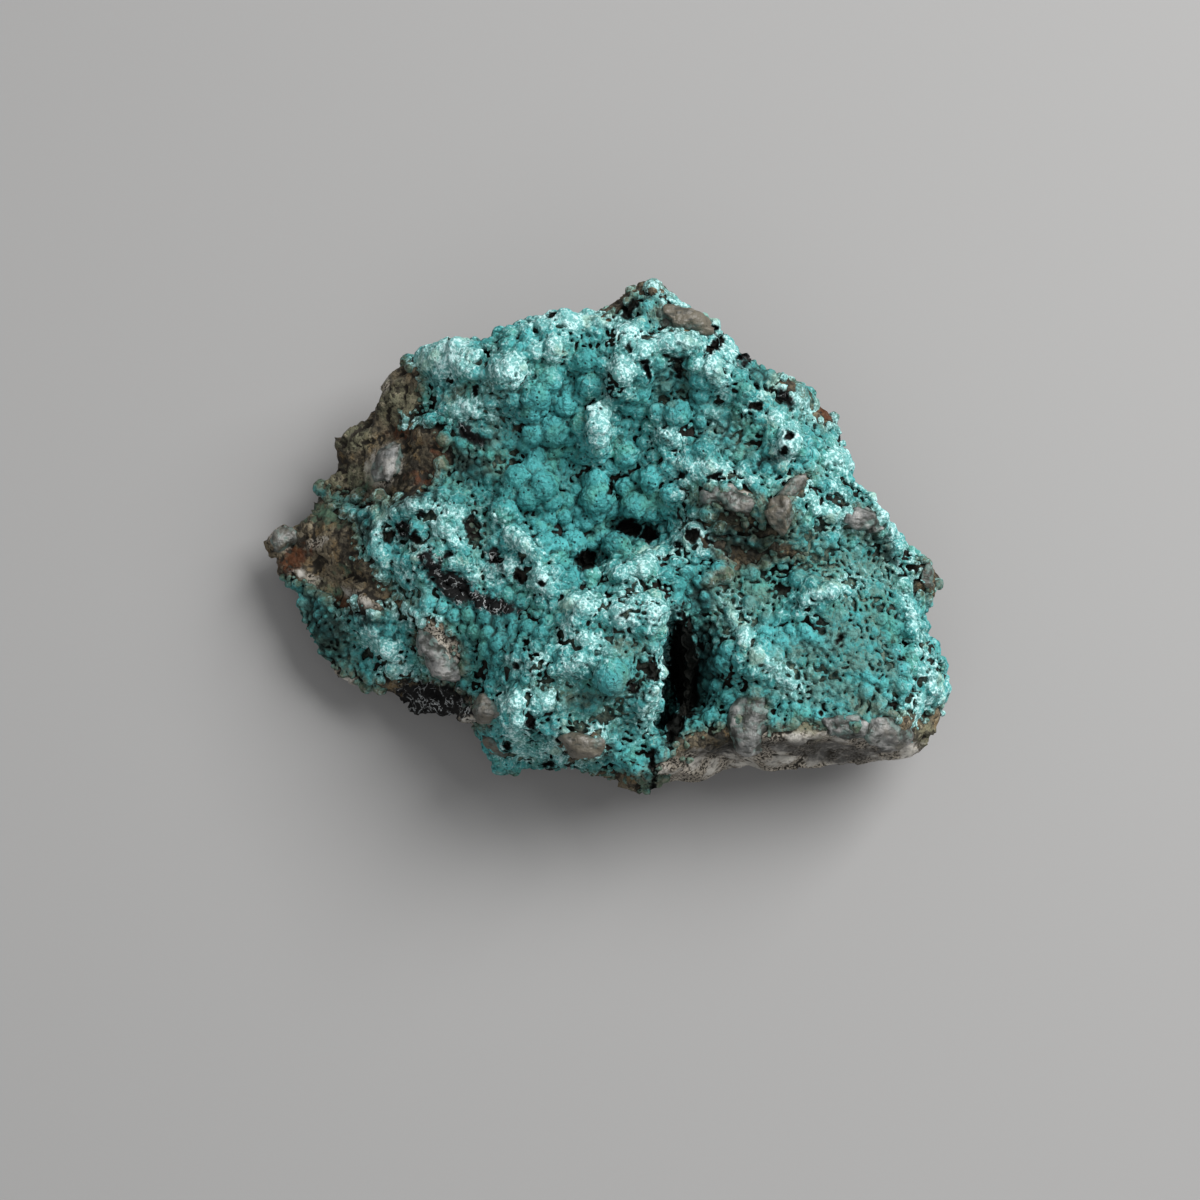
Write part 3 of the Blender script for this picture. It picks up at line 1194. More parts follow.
# %% Hollows
def hollow_shade(tree, colour, sparse, frosty, out, high, rise, middling, quick, grain):
    """Speckled olive and black between the grains, most of all where the crust is thin."""
    level = add(tree, high, times(tree, out, 0.8), centred(tree, middling, 0.35))
    level = add(tree, level, times(tree, sparse, -0.06))
    hollow = ramp(tree, level, 0.03, -0.09)
    hollow = calculate(tree, "MAXIMUM", hollow, ramp(tree, rise, 0.56, 0.36))
    greyed = times(tree, sparse, ramp(tree, middling, 0.40, 0.58), 0.55)
    colour = mixed(tree, greyed, colour, MOTTLE_OLIVE)
    speckle = add(tree, quick, times(tree, calculate(tree, "SUBTRACT", 0.5, grain), 0.35))
    low_colour = mixed(tree, ramp(tree, speckle, 0.40, 0.50), HOLLOW_DARK, MOTTLE_OLIVE)
    low_colour = mixed(tree, ramp(tree, speckle, 0.50, 0.60), low_colour, DEEP_TEAL)
    share = times(tree, hollow, add(tree, 0.36, times(tree, sparse, 0.12)))
    gap = ramp(tree, add(tree, rise, high), 0.14, 0.0)
    colour = mixed(tree, share, colour, low_colour)
    shown = calculate(tree, "MAXIMUM", times(tree, sparse, 0.8), times(tree, frosty, 0.6))
    return mixed(tree, gap, colour, mixed(tree, shown, GAP_BROWN, low_colour))


# %% [markdown]
# ## Frost and pinholes
# Frost is a pale skin in crumbs, with webs of fine lines round it, and it is whitest where it is thick.
# Pinholes dot the whole crust, fewer on the frost.

# %% Frost and pinholes
def frosted_over(tree, colour, place, out, high, middling, quick, tiny, warped):
    """Pale frost in crumbs and webs, whiter where it is thick. Gives the colour and the frost's mask."""
    swing = add(tree, times(tree, high, 3.0), centred(tree, middling, 1.6), centred(tree, tiny, 2.4))
    frost = frayed(tree, CRUST_EDGES, "frost", place, extra=swing)
    depth = frost["Depth"]
    lace = ramp(tree, add(tree, tiny, times(tree, quick, 0.5)), 0.62, 0.90)
    line = ramp(tree, voronoi(tree, 1.3, warped, feature="DISTANCE_TO_EDGE"), 0.09, 0.02)
    web = times(tree, line, ramp(tree, depth, -1.8, -0.5), 0.6)
    mask = calculate(tree, "MAXIMUM", frost["Mask"], web)
    thick = times(tree, ramp(tree, depth, -0.2, 2.2), 0.55)
    whiteness = add(tree, times(tree, lace, 0.85), thick, times(tree, out, 2.5))
    pale = mixed(tree, ramp(tree, whiteness, 0.35, 1.35), FROST_BLUE, FROST_WHITE)
    yellow = ramp(tree, noise(tree, 3.0, place, seed=11.0), 0.56, 0.68)
    pale = mixed(tree, times(tree, yellow, 0.8), pale, FROST_YELLOW)
    return mixed(tree, times(tree, mask, add(tree, 0.70, times(tree, lace, 0.30))), colour, pale), mask


def dark_dots(tree, place, grain, frost):
    """Pinholes that dot the crust, fewer on frost. Gives the mask, and the height they take away."""
    dots = ramp(tree, voronoi(tree, 0.70, place), 0.24, 0.15)
    dotted = ramp(tree, noise(tree, 2.4, place, detail=2.0, seed=21.0), 0.42, 0.54)
    pricks = times(tree, ramp(tree, grain, 0.62, 0.78), 0.6)
    pricked = calculate(tree, "MAXIMUM", times(tree, dots, dotted), pricks)
    return times(tree, pricked, calculate(tree, "MULTIPLY_ADD", frost, -0.55, 0.85)), dots


# %% [markdown]
# ## The whole crust
# Each layer lies over the one before it: colour, hollows, frost, shade, creases, pinholes and weather.
# Three noises of different sizes serve several layers, so that colour and bump agree.

# %% Crust material
CRUST_GRAIN = 0.42  # millimetres


def crust_material():
    """Blue-green, pale on the highs and brown-black in the gaps."""
    made, tree, shader = new_material("chrysocolla_crust", roughness=0.75, sheen=0.15)
    place = here(tree)
    out, high, rise = stored_on(tree, "stands_out"), stored_on(tree, "stands_high"), stored_on(tree, "rise")
    middling = noise(tree, 1.8, place, detail=4.0, seed=16.0)
    quick = noise(tree, 0.7, place, detail=3.0, seed=2.0)
    tiny = noise(tree, 0.28, place, detail=3.0, seed=13.0)
    wander = noise(tree, 0.9, place, seed=23.0, output="Color")
    wander = vector_calculate(tree, "SUBTRACT", wander, MIDDLE_GREY)
    warped = vector_calculate(tree, "ADD", place, scaled(tree, wander, 0.9 * MM))
    grain = voronoi(tree, CRUST_GRAIN, warped)
    colour = crust_colour(tree, place, out, quick, tiny, grain)
    sparse = frayed(tree, CRUST_EDGES, "sparse", place)["Mask"]
    frosty = ramp(tree, stored_on(tree, "frost"), -0.5, 0.5)
    colour = hollow_shade(tree, colour, sparse, frosty, out, high, rise, middling, quick, grain)
    colour, frost = frosted_over(tree, colour, place, out, high, middling, quick, tiny, warped)
    shade = frayed(tree, CRUST_EDGES, "shade", place)["Mask"]
    colour = mixed(tree, times(tree, shade, 0.22), colour, CREASE)
    crease = ramp(tree, add(tree, high, times(tree, out, 0.8)), -0.05, -0.20)
    spared = add(tree, times(tree, sparse, 0.55), times(tree, frosty, 0.45))
    crease = times(tree, crease, ramp(tree, spared, 1.6, -0.9))
    colour = mixed(tree, crease, colour, CREASE)
    pricked, dots = dark_dots(tree, place, grain, frost)
    pricked = times(tree, pricked, calculate(tree, "MULTIPLY_ADD", sparse, -0.55, 1.0))
    colour = mixed(tree, pricked, colour, GAP_BLACK)
    dirt = frayed(tree, CRUST_EDGES, "dirt", place, extra=times(tree, high, -4.0))
    weather = dict(
        Pit=ramp(tree, stored_on(tree, "pit"), -0.25, 0.15),
        Dirt=dirt["Mask"],
        Soot=frayed(tree, CRUST_EDGES, "soot", place)["Mask"],
    )
    colour = use_group(tree, blackened, Colour=colour, Place=place, **weather)["Colour"]
    tree.links.new(colour, shader.inputs["Base Color"])
    fine = use_group(tree, mineral_grain, Place=warped, Size=CRUST_GRAIN)["Height"]
    bumped(tree, shader, add(tree, fine, tiny, times(tree, dots, -0.6)), strength=0.9, depth=0.15)
    return made


crust_paint = crust_material()
say(f"{crust_paint.name}: {len(crust_paint.node_tree.nodes)} shader nodes")

# %% [markdown]
# ## Lumps, pores and what the weather leaves
# The grown skin is smooth between grains. A real crust has lumps on its lumps, and where it has bleached
# to a pale frost it is lacy, with pores that go down to the rock. Both are moved out of the mesh here.
# The same tree then measures the surface: how far each point stands out from its neighbourhood, and how
# high it rises above the rock. The material colours the highs and the gaps by these numbers.

# %% Patches on a mesh
PIT_PLACES = PITS + [(right, up, pit, pit, 0) for right, up, rim, pit in CRATERS]
RIM_PLACES = [(right, up, rim, rim, 0) for right, up, rim, pit in CRATERS]
PATCHES = {
    "frost": FROST + RIM_PLACES,
    "soot": SOOT,
    "rust": RUST,
    "olive": OLIVE,
    "green": GREEN,
    "grey": GREY,
    "band": DARK_BAND,
    "dirt": DIRT,
    "shade": SHADE,
    "sparse": SPARSE,
    "pit": PIT_PLACES,
    "bare": BARE,
}


def mark_patches(mesh):
    """Stores how deep each point lies in each kind of patch."""
    places = seen_at(points_of(mesh))
    for name, patches in PATCHES.items():
        store_attribute(mesh, name, patch_depth(places, patches))


for piece in crusts.values():
    mark_patches(piece.data)
say(f"{len(PATCHES)} patch depths stored on each crust piece")

# %% [markdown]
# ## One tree that shapes and measures
# A blur fuses the grains under the frost, noise cuts its pores, and the pits sink along the line of sight.
# Blurring the surface a little and a lot, and taking the difference, tells what stands out and what is high.

# %% The sculpting tree
PIT_DEPTH = 1.0 * MM
CRUST_SIZES = {"Lump": 0.20 * MM, "Pore": 0.40 * MM, "Melt": 5, "Fine": 3, "Wide": 30}


def reach_along(tree, vector, direction):
    """How far a vector reaches in a direction."""
    return vector_calculate(tree, "DOT_PRODUCT", vector, direction, output="Value")


def standing_out(tree, position, normal, iterations):
    """How far each point stands out from its neighbourhood, in millimetres."""
    away = vector_calculate(tree, "SUBTRACT", position, blurred(tree, position, iterations))
    return calculate(tree, "DIVIDE", reach_along(tree, away, normal), MM)


def rise_over(tree, rock, position):
    """How high a point lies over another object's surface, in millimetres."""
    surface = add_node(tree, "GeometryNodeObjectInfo", {"Object": rock}).outputs["Geometry"]
    near = add_node(
        tree,
        "GeometryNodeProximity",
        {"Geometry": surface, "Sample Position": position},
        target_element="FACES",
    )
    facing = add_node(tree, "GeometryNodeSampleNearestSurface", {}, data_type="FLOAT_VECTOR")
    tree.links.new(surface, in_use(facing.inputs, "Mesh"))
    tree.links.new(field(tree, "Normal"), in_use(facing.inputs, "Value"))
    away = vector_calculate(tree, "SUBTRACT", position, near.outputs["Position"])
    side = calculate(tree, "SIGN", reach_along(tree, away, facing.outputs["Value"]))
    return calculate(tree, "DIVIDE", times(tree, near.outputs["Distance"], side), MM)


def sculpt_tree():
    """Lumps and pores on a crust, and numbers that say how each point stands out."""
    tree, given, made = new_geometry_tree(
        "sculpt_crust",
        Rock="Object",
        Lump="Float",
        Pore="Float",
        Melt="Int",
        Fine="Int",
        Wide="Int",
        Material="Material",
    )
    inputs = given.outputs
    position, normal = field(tree, "Position"), field(tree, "Normal")
    frosted = ramp(tree, attribute_of(tree, "frost"), -0.8, 0.3)
    melted = blurred(tree, position, inputs["Melt"], times(tree, frosted, 0.5))
    fused = set_position(tree, inputs["Geometry"], Position=melted)
    dent = calculate(tree, "SUBTRACT", 0.45, voronoi(tree, 0.62, position))
    holes = ramp(tree, noise(tree, 1.3, position, detail=3.0, seed=7.0), 0.34, 0.28)
    pore = times(tree, holes, frosted, inputs["Pore"])
    height = calculate(tree, "SUBTRACT", times(tree, dent, inputs["Lump"]), pore)
    rough = centred(tree, noise(tree, 0.8, position, detail=3.0, seed=12.0), 2.0)
    pit_depth = add(tree, rough, attribute_of(tree, "pit"))
    upward = ramp(tree, reach_along(tree, normal, tuple(TOWARDS_EYE)), 0.0, 0.4)
    sink = times(tree, ramp(tree, pit_depth, -0.1, 0.4), upward, -PIT_DEPTH)
    sunk = scaled(tree, tuple(TOWARDS_EYE), sink)
    offset = vector_calculate(tree, "ADD", scaled(tree, normal, height), sunk)
    geometry = keep(tree, set_position(tree, fused, Offset=offset), "pit", pit_depth)
    for name, iterations in (("stands_out", inputs["Fine"]), ("stands_high", inputs["Wide"])):
        geometry = keep(tree, geometry, name, standing_out(tree, position, normal, iterations))
    geometry = keep(tree, geometry, "rise", rise_over(tree, inputs["Rock"], position))
    end_tree(tree, geometry, made, inputs["Material"])
    return tree


sculpt = sculpt_tree()
for piece in crusts.values():
    replace_mesh(piece, run_tree(piece, sculpt, Rock=core, Material=crust_paint, **CRUST_SIZES))
say(f"the tree {sculpt.name}, with {len(sculpt.nodes)} nodes, has shaped {len(crusts)} pieces")

# %% [markdown]
# ## What the rock hides
# The underside of the crust lies inside the rock. Its faces are thinned out, and the piece stays closed.
# Thinning can fold two faces flat onto each other, which a good mesh must not have, so those are removed.

# %% Thin out what the rock hides
HIDDEN_RISE = -0.25  # millimetres over the rock
HIDDEN_KEPT = 0.04  # the share of hidden faces that stay


def drop_folds(mesh):
    """Removes the faces that thinning has folded flat onto each other, in pairs."""
    bm = bmesh.new()
    bm.from_mesh(mesh)
    same = {}
    for face in bm.faces:
        same.setdefault(frozenset(vertex.index for vertex in face.verts), []).append(face)
    folded = [face for faces in same.values() if len(faces) > 1 for face in faces]
    bmesh.ops.delete(bm, geom=folded, context="FACES")
    bm.to_mesh(mesh)
    bm.free()
    return len(folded)


def thin_hidden(obj, hidden):
    """Makes an object's hidden faces few and large. No one sees them, but they keep the piece closed."""
    group = obj.vertex_groups.new(name="hidden")
    group.add(np.flatnonzero(hidden).tolist(), 1.0, "REPLACE")
    modifier = obj.modifiers.new("thin", "DECIMATE")
    modifier.vertex_group = group.name
    modifier.ratio = 1.0 - hidden.mean() * (1.0 - HIDDEN_KEPT)
    apply_modifiers(obj)
    obj.vertex_groups.clear()
    say(f"{obj.name}: {drop_folds(obj.data)} folded faces removed")


def finish_piece(piece):
    """Puts a piece on the ground, smooths its shading and ties it to the CAD node that it replaces."""
    paint = [material for material in piece.data.materials if material][0]
    piece.data.materials.clear()
    piece.data.materials.append(paint)
    points = points_of(piece.data)
    points[:, 2] = np.maximum(points[:, 2], 0.0)
    set_points(piece.data, points)
    piece.data.shade_smooth()
    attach(piece, "root")
    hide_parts(NODE)
    piece.data.calc_loop_triangles()
    say(f"{piece.name}: {len(piece.data.loop_triangles)} triangles of {paint.name}")


for piece in crusts.values():
    thin_hidden(piece, float_attribute(piece.data, "rise") < HIDDEN_RISE)
    finish_piece(piece)

# %% [markdown]
# ## The rock
# The rock is quartz sand and broken quartz, cemented by brown iron ore. It breaks along grains, so each
# cell of a Voronoi pattern gets a tilt of its own: the surface turns into small flat facets with steps
# between them. Rust, soot-black manganese ore and green copper stains lie on it in patches.

# %% Grey quartz
ROCK_EDGES = {  # size of the fraying and its reach, the depths where a patch starts and is full, seed
    "olive": (1.0, 3.0, -0.4, 0.8, 4.0),
    "grey": (0.8, 1.6, -0.2, 0.4, 7.0),
    "band": (1.0, 1.6, -0.5, 0.2, 5.0),
    "rust": (0.9, 3.4, -0.4, 0.8, 8.0),
    "green": (0.8, 3.0, -0.3, 0.9, 1.0),
    "sparse": (2.0, 3.0, -1.0, 1.0, 24.0),
    "dirt": (0.9, 3.4, -0.4, 0.8, 15.0),
    "soot": (0.8, 3.0, -0.3, 0.4, 6.0),
}


def quartz_wall(tree, place, quick, tiny):
    """The smooth grey quartz of the broken wall, with a dark sandy band and a pepper of ore."""
    cloud = ramp(tree, noise(tree, 2.4, place, detail=4.0, seed=9.0), 0.38, 0.62)
    colour = mixed(tree, cloud, QUARTZ_GREY, QUARTZ_PALE)
    colour = mixed(tree, times(tree, ramp(tree, quick, 0.54, 0.66), 0.5), colour, QUARTZ_DARK)
    peppered = ramp(tree, noise(tree, 2.6, place, detail=3.0, seed=17.0), 0.42, 0.56)
    pepper = times(tree, peppered, ramp(tree, tiny, 0.48, 0.56))
    colour = mixed(tree, times(tree, peppered, 0.40), colour, ROCK_OCHRE)
    band = frayed(tree, ROCK_EDGES, "band", place)["Mask"]
    colour = mixed(tree, times(tree, band, ramp(tree, quick, 0.76, 0.48), 0.85), colour, QUARTZ_DARK)
    return mixed(tree, pepper, colour, ROCK_DARK)


# %% [markdown]
# ## Brown rock
# Each small cell is a grain of sand, so the cells' random colours pick which grains are tan and which
# are dark. Ochre and olive clouds lie over them.

# %% Brown rock
ROCK_GRAIN = 0.5  # millimetres


def broken_rock(tree, place, olive, slow, quick, tiny):
    """Brown ore with ochre clouds, olive and tan grains and dark specks."""
    cloud = add(tree, slow, centred(tree, quick, 0.5))
    colour = mixed(tree, ramp(tree, cloud, 0.38, 0.62), ROCK_DARK, ROCK_BROWN)
    ochre = ramp(tree, noise(tree, 1.5, place, detail=4.0, seed=18.0), 0.50, 0.64)
    colour = mixed(tree, times(tree, ochre, 0.7), colour, ROCK_OCHRE)
    grains = cell_pattern(tree, ROCK_GRAIN, place)["Color"]
    tint = add_node(tree, "ShaderNodeSeparateColor", {"Color": grains}).outputs
    colour = mixed(tree, times(tree, olive, 0.65), colour, ROCK_OLIVE)
    colour = mixed(tree, times(tree, ramp(tree, tint["Red"], 0.80, 0.98), 0.55), colour, ROCK_TAN)
    colour = mixed(tree, times(tree, ramp(tree, tint["Green"], 0.30, 0.05), 0.8), colour, ROCK_DARK)
    return mixed(tree, times(tree, ramp(tree, tiny, 0.47, 0.37), 0.75), colour, ROCK_DARK)


# %% [markdown]
# ## The whole rock
# Grey quartz lies in the brown rock, stains lie over both, and the ground under the crust is dark, so
# that a gap between two grains reads as deep.

# %% Rock material
def rock_material():
    """Brown granular rock with grey quartz, rust, black ore and dark gaps under the crust."""
    made, tree, shader = new_material("quartz_rock", roughness=0.65, sheen=0.15)
    place = here(tree)
    out = stored_on(tree, "stands_out")
    slow = noise(tree, 3.5, place, detail=4.0, seed=2.0)
    quick = noise(tree, 0.5, place, detail=4.0, seed=3.0)
    tiny = noise(tree, 0.26, place, detail=3.0, seed=13.0)
    olive = frayed(tree, ROCK_EDGES, "olive", place)["Mask"]
    colour = broken_rock(tree, place, olive, slow, quick, tiny)
    grey = frayed(tree, ROCK_EDGES, "grey", place)["Mask"]
    wall = mixed(tree, times(tree, olive, 0.6), quartz_wall(tree, place, quick, tiny), ROCK_OLIVE)
    colour = mixed(tree, grey, colour, wall)
    rust = frayed(tree, ROCK_EDGES, "rust", place)["Mask"]
    colour = mixed(tree, times(tree, rust, add(tree, 0.45, quick)), colour, ROCK_RUST)
    green = frayed(tree, ROCK_EDGES, "green", place)["Mask"]
    colour = mixed(tree, times(tree, green, 0.8), colour, ROCK_GREEN)
    colour = mixed(tree, ramp(tree, out, -0.02, -0.12), colour, ROCK_DARK)
    under = ramp(tree, stored_on(tree, "bare"), -0.1, -0.8)
    sparse = frayed(tree, ROCK_EDGES, "sparse", place)["Mask"]
    ground = mixed(tree, ramp(tree, quick, 0.42, 0.56), HOLLOW_DARK, MOTTLE_OLIVE)
    frosty = ramp(tree, stored_on(tree, "frost"), -0.5, 0.5)
    shown = calculate(tree, "MAXIMUM", times(tree, sparse, 0.9), times(tree, frosty, 0.7))
    ground = mixed(tree, shown, GAP_BROWN, ground)
    colour = mixed(tree, under, colour, ground)
    weather = dict(
        Pit=ramp(tree, stored_on(tree, "pit"), -0.1, 0.2),
        Dirt=frayed(tree, ROCK_EDGES, "dirt", place)["Mask"],
        Soot=frayed(tree, ROCK_EDGES, "soot", place)["Mask"],
    )
    colour = use_group(tree, blackened, Colour=colour, Place=place, **weather)["Colour"]
    tree.links.new(colour, shader.inputs["Base Color"])
    fine = use_group(tree, mineral_grain, Place=place, Size=ROCK_GRAIN)["Height"]
    calm = calculate(tree, "MULTIPLY_ADD", grey, -0.55, 1.0)
    bumped(tree, shader, times(tree, fine, calm), strength=0.8, depth=0.24)
    return made


rock_paint = rock_material()
say(f"{rock_paint.name}: {len(rock_paint.node_tree.nodes)} shader nodes")

# %% [markdown]
# ## Broken faces
# Large and small facets add up, and noise gives the grain between them. The grey quartz is calmer than
# the rest, and nothing moves at the foot, so that the rock still rests flat.

# %% The fracture tree
LARGE_FACET = 2.6
SMALL_FACET = 1.1


def facets(tree, place, size, tilt):
    """A height that tilts each Voronoi cell its own way."""
    cells = cell_pattern(tree, size, place)
    lean = vector_calculate(tree, "SUBTRACT", cells["Color"], MIDDLE_GREY)
    aside = vector_calculate(tree, "SUBTRACT", place, cells["Position"])
    return times(tree, reach_along(tree, lean, aside), tilt)


def rock_tree():
    """Fracture facets and grain on the rock."""
    tree, given, made = new_geometry_tree(
        "break_rock", Tilt="Float", Grain="Float", Fine="Int", Material="Material"
    )
    inputs = given.outputs
    position, normal = field(tree, "Position"), field(tree, "Normal")
    grey = ramp(tree, attribute_of(tree, "grey"), -0.2, 0.6)
    calm = calculate(tree, "MULTIPLY_ADD", grey, -0.8, 1.0)
    bumpy = centred(tree, noise(tree, 0.9, position, detail=3.0), inputs["Grain"])
    broad = calculate(tree, "MULTIPLY_ADD", calm, 0.65, 0.35)
    height = add(
        tree,
        times(tree, facets(tree, position, LARGE_FACET, inputs["Tilt"]), broad),
        times(tree, facets(tree, position, SMALL_FACET, inputs["Tilt"]), calm, 0.7),
        times(tree, bumpy, calm),
    )
    level = add_node(tree, "ShaderNodeSeparateXYZ", {"Vector": position}).outputs["Z"]
    height = times(tree, height, ramp(tree, level, 0.1 * MM, 1.5 * MM))
    moved = set_position(tree, inputs["Geometry"], Offset=scaled(tree, normal, height))
    out = standing_out(tree, position, normal, inputs["Fine"])
    end_tree(tree, keep(tree, moved, "stands_out", out), made, inputs["Material"])
    return tree


break_rock = rock_tree()
say(f"the tree {break_rock.name} has {len(break_rock.nodes)} nodes")

# %% [markdown]
# ## The visible rock
# A finer copy of the core takes the facets. Under the crust it sinks a little and is thinned out.

# %% Make the rock
ROCK_VOXEL = 0.40 * MM
ROCK_SIZES = {"Tilt": 0.6, "Grain": 0.45 * MM, "Fine": 3}
UNDER_CRUST = 0.25 * MM
STEEP = 0.3  # a normal's height under which a face counts as a wall
WELL_COVERED = 1.2  # millimetres inside the crust's edge, where no rock shows
FOOT_HEIGHT = 0.1 * MM


def make_rock():
    """The visible rock: a finer copy of the core."""
    rock = link_object("matrix_rock", core.data.copy())
    remesh(rock, ROCK_VOXEL)
    mark_patches(rock.data)
    replace_mesh(rock, run_tree(rock, break_rock, Material=rock_paint, **ROCK_SIZES))
    points, normals = points_of(rock.data), normals_of(rock.data)
    bare = float_attribute(rock.data, "bare")
    covered = np.clip(-bare / BARE_EDGE, 0.0, 1.0) * facing_up(normals, low=0.0, width=STEEP)
    points -= normals * (covered * UNDER_CRUST)[:, None]
    set_points(rock.data, points)
    crusted = (bare < -WELL_COVERED) & (normals[:, 2] > STEEP)
    thin_hidden(rock, crusted | (points[:, 2] < FOOT_HEIGHT))
    return rock


rock = make_rock()
finish_piece(rock)

# %% [markdown]
# ## Quartz lumps
# Broken quartz crystals stand out of the rock, milky and worn, some stained brown. Light passes into
# them, so they take plain transmission and quartz's own index of refraction. Dirt gathers where a lump
# meets the rock, so the colour follows each point's height over the rock.

# %% Quartz material
CLEAR_QUARTZ = (0.15, 0.155, 0.15)
MILKY_QUARTZ = (0.34, 0.335, 0.32)
STAINED_QUARTZ = (0.130, 0.112, 0.076)
LUMP_RIM = (0.030, 0.034, 0.026)
LUMP_DUST = (0.100, 0.170, 0.150)
QUARTZ_IOR = 1.54
QUARTZ_CLEARNESS = 0.3
CRACK_STRETCH = (0.5, 1.6, 1.0)
QUARTZ_GRAIN = 0.6  # millimetres


def quartz_material():
    """Milky worn quartz, some of it stained by iron, with dirt round its foot."""
    made, tree, shader = new_material("milky_quartz", roughness=0.45, sheen=0.4)
    place = here(tree)
    cloud = noise(tree, 1.0, place, detail=5.0, seed=6.0)
    stretched = vector_calculate(tree, "MULTIPLY", place, CRACK_STRETCH)
    cracks = noise(tree, QUARTZ_GRAIN, stretched, detail=5.0, seed=4.0)
    stain = add(tree, stored_on(tree, "stain"), centred(tree, noise(tree, 1.2, place, detail=4.0), 1.4))
    colour = mixed(tree, ramp(tree, cloud, 0.38, 0.62), CLEAR_QUARTZ, MILKY_QUARTZ)
    colour = mixed(tree, times(tree, ramp(tree, stain, 0.1, 0.9), 0.9), colour, STAINED_QUARTZ)
    colour = mixed(tree, times(tree, ramp(tree, cracks, 0.53, 0.62), 0.75), colour, LUMP_RIM)
    crumbs = noise(tree, 0.7, place, detail=4.0, seed=3.0)
    foot = add(tree, stored_on(tree, "rise"), centred(tree, crumbs, 1.6))
    dust = mixed(tree, ramp(tree, cloud, 0.46, 0.56), LUMP_RIM, LUMP_DUST)
    colour = mixed(tree, times(tree, ramp(tree, foot, 1.0, 0.3), 0.9), colour, dust)
    tree.links.new(colour, shader.inputs["Base Color"])
    shader.inputs["IOR"].default_value = QUARTZ_IOR
    shader.inputs["Transmission Weight"].default_value = QUARTZ_CLEARNESS
    fine = use_group(tree, mineral_grain, Place=place, Size=QUARTZ_GRAIN)["Height"]
    bumped(tree, shader, fine, strength=0.7, depth=0.2)
    return made


quartz_paint = quartz_material()
say(f"{quartz_paint.name}: {len(quartz_paint.node_tree.nodes)} shader nodes")

# %% [markdown]
# ## The shape of a lump
# Each lump is a block bounded by eighteen random planes, stretched and turned, laid along the rock's
# slope, and half buried or more. A fixed seed for each keeps its shape the same on every run.

# %% Quartz lumps
QUARTZ = [  # right, up, half-length, half-width, turn in degrees, share buried, brown stain
    (-35.7, 0.0, 1.7, 1.5, 60, 0.66, 0.50), (-24.0, 8.4, 2.5, 1.7, 70, 0.62, 0.25),
    (9.2, 24.1, 2.8, 1.6, -14, 0.54, 0.95), (7.2, 24.5, 1.6, 1.3, 20, 0.60, 0.90),
    (12.2, 4.7, 2.3, 1.2, 8, 0.66, 0.25), (14.5, 4.1, 2.1, 1.0, -16, 0.66, 0.45),
    (19.1, 2.5, 2.0, 1.6, 90, 0.60, 0.70), (20.4, 5.4, 2.3, 0.9, 42, 0.56, 0.60),
    (28.3, 2.0, 2.1, 1.4, -20, 0.60, 0.05), (-19.8, -11.6, 1.9, 1.3, -60, 0.60, 0.00),
    (-18.2, -13.8, 2.7, 1.8, -42, 0.62, 0.15), (-13.4, -18.8, 1.7, 1.5, 0, 0.56, 0.60),
    (-15.9, -20.4, 1.7, 1.1, -10, 0.60, 0.55), (-2.7, -22.8, 2.5, 1.6, -5, 0.50, 0.80),
    (-12.2, -22.6, 1.2, 1.7, 0, 0.56, 0.80), (15.8, -20.2, 3.3, 2.4, 76, 0.80, 0.05),
    (16.8, -17.8, 1.7, 0.9, 76, 0.70, 0.05), (26.2, -20.8, 2.6, 1.3, -12, 0.66, 0.10),
    (31.0, -21.5, 2.8, 2.0, -8, 0.62, 0.30), (35.4, -4.0, 1.0, 1.5, 0, 0.72, 0.90),
]
QUARTZ_FLATNESS = 0.80  # a lump's height, as a share of its smaller side
QUARTZ_SEED = 11
PLANES = 18
NEAREST_PLANE = 0.78  # how far the planes lie from the middle, as shares of the size
FARTHEST_PLANE = 1.0
FARTHEST_POINT = 1.15
GRAZING = 0.05  # a plane that a ray meets at less than this is left out
OUT_OF_REACH = 9.0


def crystal_points(directions, generator):
    """Where rays from the middle leave a block bounded by random planes."""
    facing = generator.normal(size=(PLANES, 3))
    facing /= np.linalg.norm(facing, axis=1)[:, None]
    away = generator.uniform(NEAREST_PLANE, FARTHEST_PLANE, PLANES)
    reach = directions @ facing.T
    limits = np.where(reach > GRAZING, away / np.maximum(reach, GRAZING), OUT_OF_REACH)
    return directions * np.minimum(limits.min(axis=1), FARTHEST_POINT)[:, None]


def rock_slope(right, up, reach):
    """The direction that the rock faces about a place, averaged over this many millimetres."""
    total = Vector((0.0, 0.0, 0.0))
    for aside, above in ((0, 0), (-1, 0), (1, 0), (0, -1), (0, 1)):
        place = on_rock(right + aside * reach, up + above * reach)
        total += core_tree.find_nearest(place)[1]
    return total.normalized()


say(f"{len(QUARTZ)} quartz lumps of {PLANES} planes each")

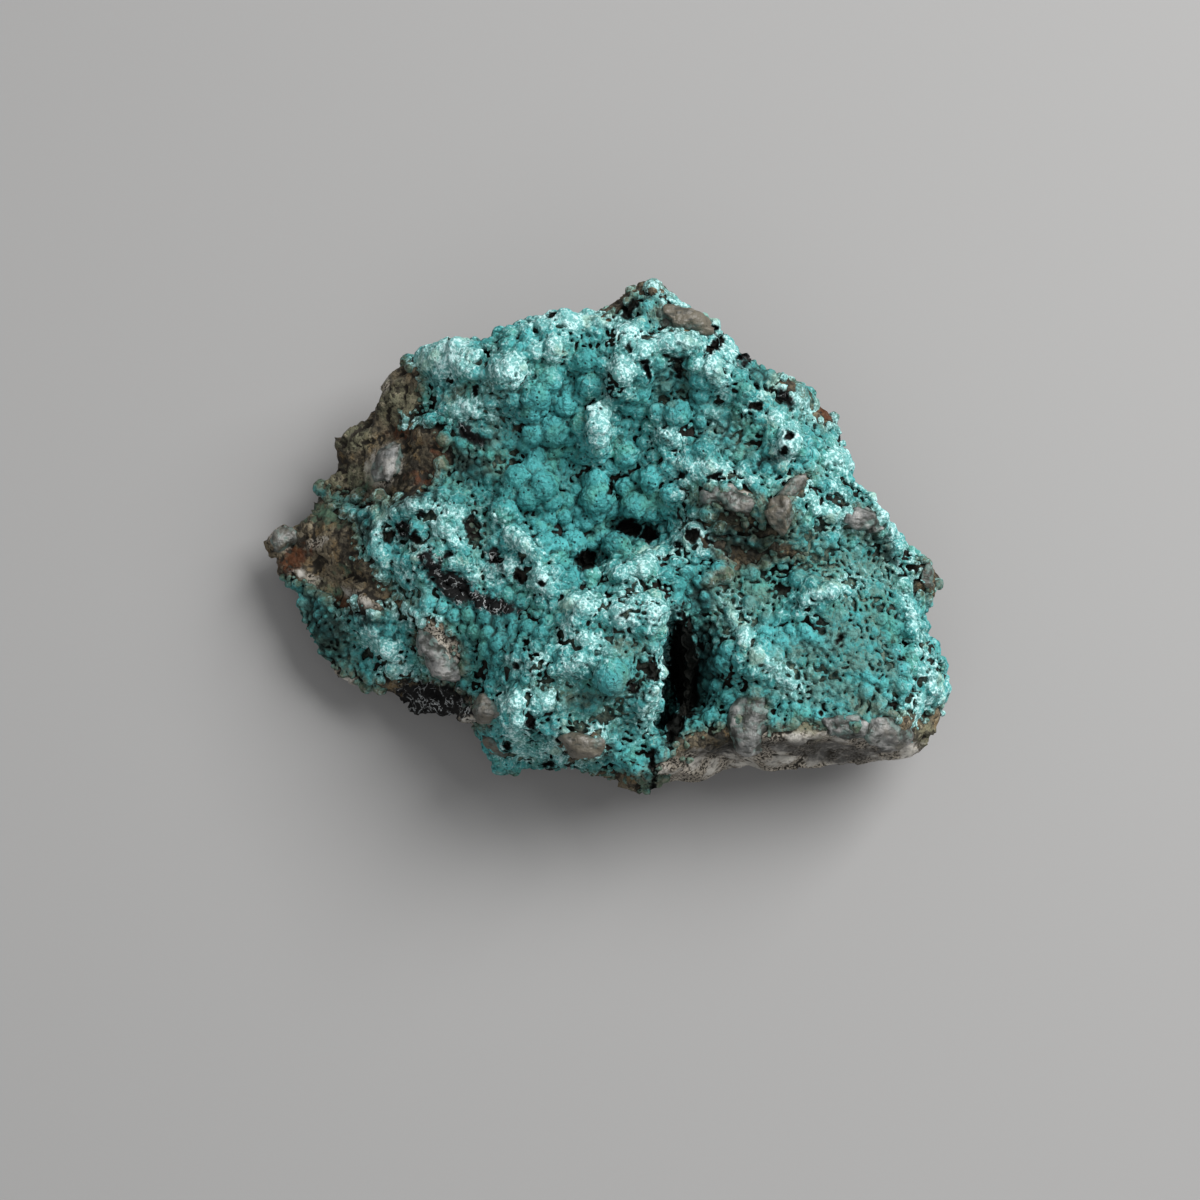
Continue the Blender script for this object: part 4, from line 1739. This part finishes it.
# %% Grow the quartz
QUARTZ_SIZES = {"Tilt": 0.35, "Grain": 0.45 * MM, "Fine": 2}
QUARTZ_SUBDIVISIONS = 4


def height_over_core(points):
    """How far each point lies outside the core rock, in millimetres."""
    heights = []
    for point in points:
        near, normal, _, apart = core_tree.find_nearest(point)
        heights.append(math.copysign(apart, (Vector(point) - near).dot(normal)) / MM)
    return np.array(heights)


def make_quartz():
    """All the quartz lumps in one mesh, with each point's stain stored on it."""
    ball = bmesh.new()
    bmesh.ops.create_icosphere(ball, subdivisions=QUARTZ_SUBDIVISIONS, radius=1.0)
    directions = np.array([vertex.co for vertex in ball.verts])
    triangles = np.array([[vertex.index for vertex in face.verts] for face in ball.faces])
    ball.free()
    points, faces, stains = [], [], []
    for number, (right, up, long_half, wide_half, turn, buried, stain) in enumerate(QUARTZ):
        shape = crystal_points(directions, np.random.default_rng(number + QUARTZ_SEED))
        height = min(long_half, wide_half) * QUARTZ_FLATNESS
        shape *= (long_half, wide_half, height)
        outward = rock_slope(right, up, wide_half)
        leaning = Vector((0.0, 0.0, 1.0)).rotation_difference(outward).to_matrix()
        turned = np.array(leaning @ Matrix.Rotation(math.radians(turn), 3, "Z"))
        middle = on_rock(right, up) + outward * height * (1.0 - 2.0 * buried) * MM
        points.append(shape @ turned.T * MM + np.array(middle))
        faces.append(triangles + number * len(directions))
        stains.append(np.full(len(directions), stain))
    mesh = bpy.data.meshes.new("quartz_lumps")
    mesh.from_pydata(np.vstack(points).tolist(), [], np.vstack(faces).tolist())
    store_attribute(mesh, "stain", np.concatenate(stains))
    return link_object("quartz_lumps", mesh)


quartz = make_quartz()
replace_mesh(quartz, run_tree(quartz, break_rock, Material=quartz_paint, **QUARTZ_SIZES))
store_attribute(quartz.data, "rise", height_over_core(points_of(quartz.data)))
bpy.data.objects.remove(core)
finish_piece(quartz)

# %% [markdown]
# ## Sizes and the end
# The visual must stay inside the CAD box to within a few per cent, so both boxes are written down.

# %% Finish
visual_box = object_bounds()
say(f"visual box {[round(float(v) / MM, 2) for v in (*visual_box[0], *visual_box[1])]} mm")
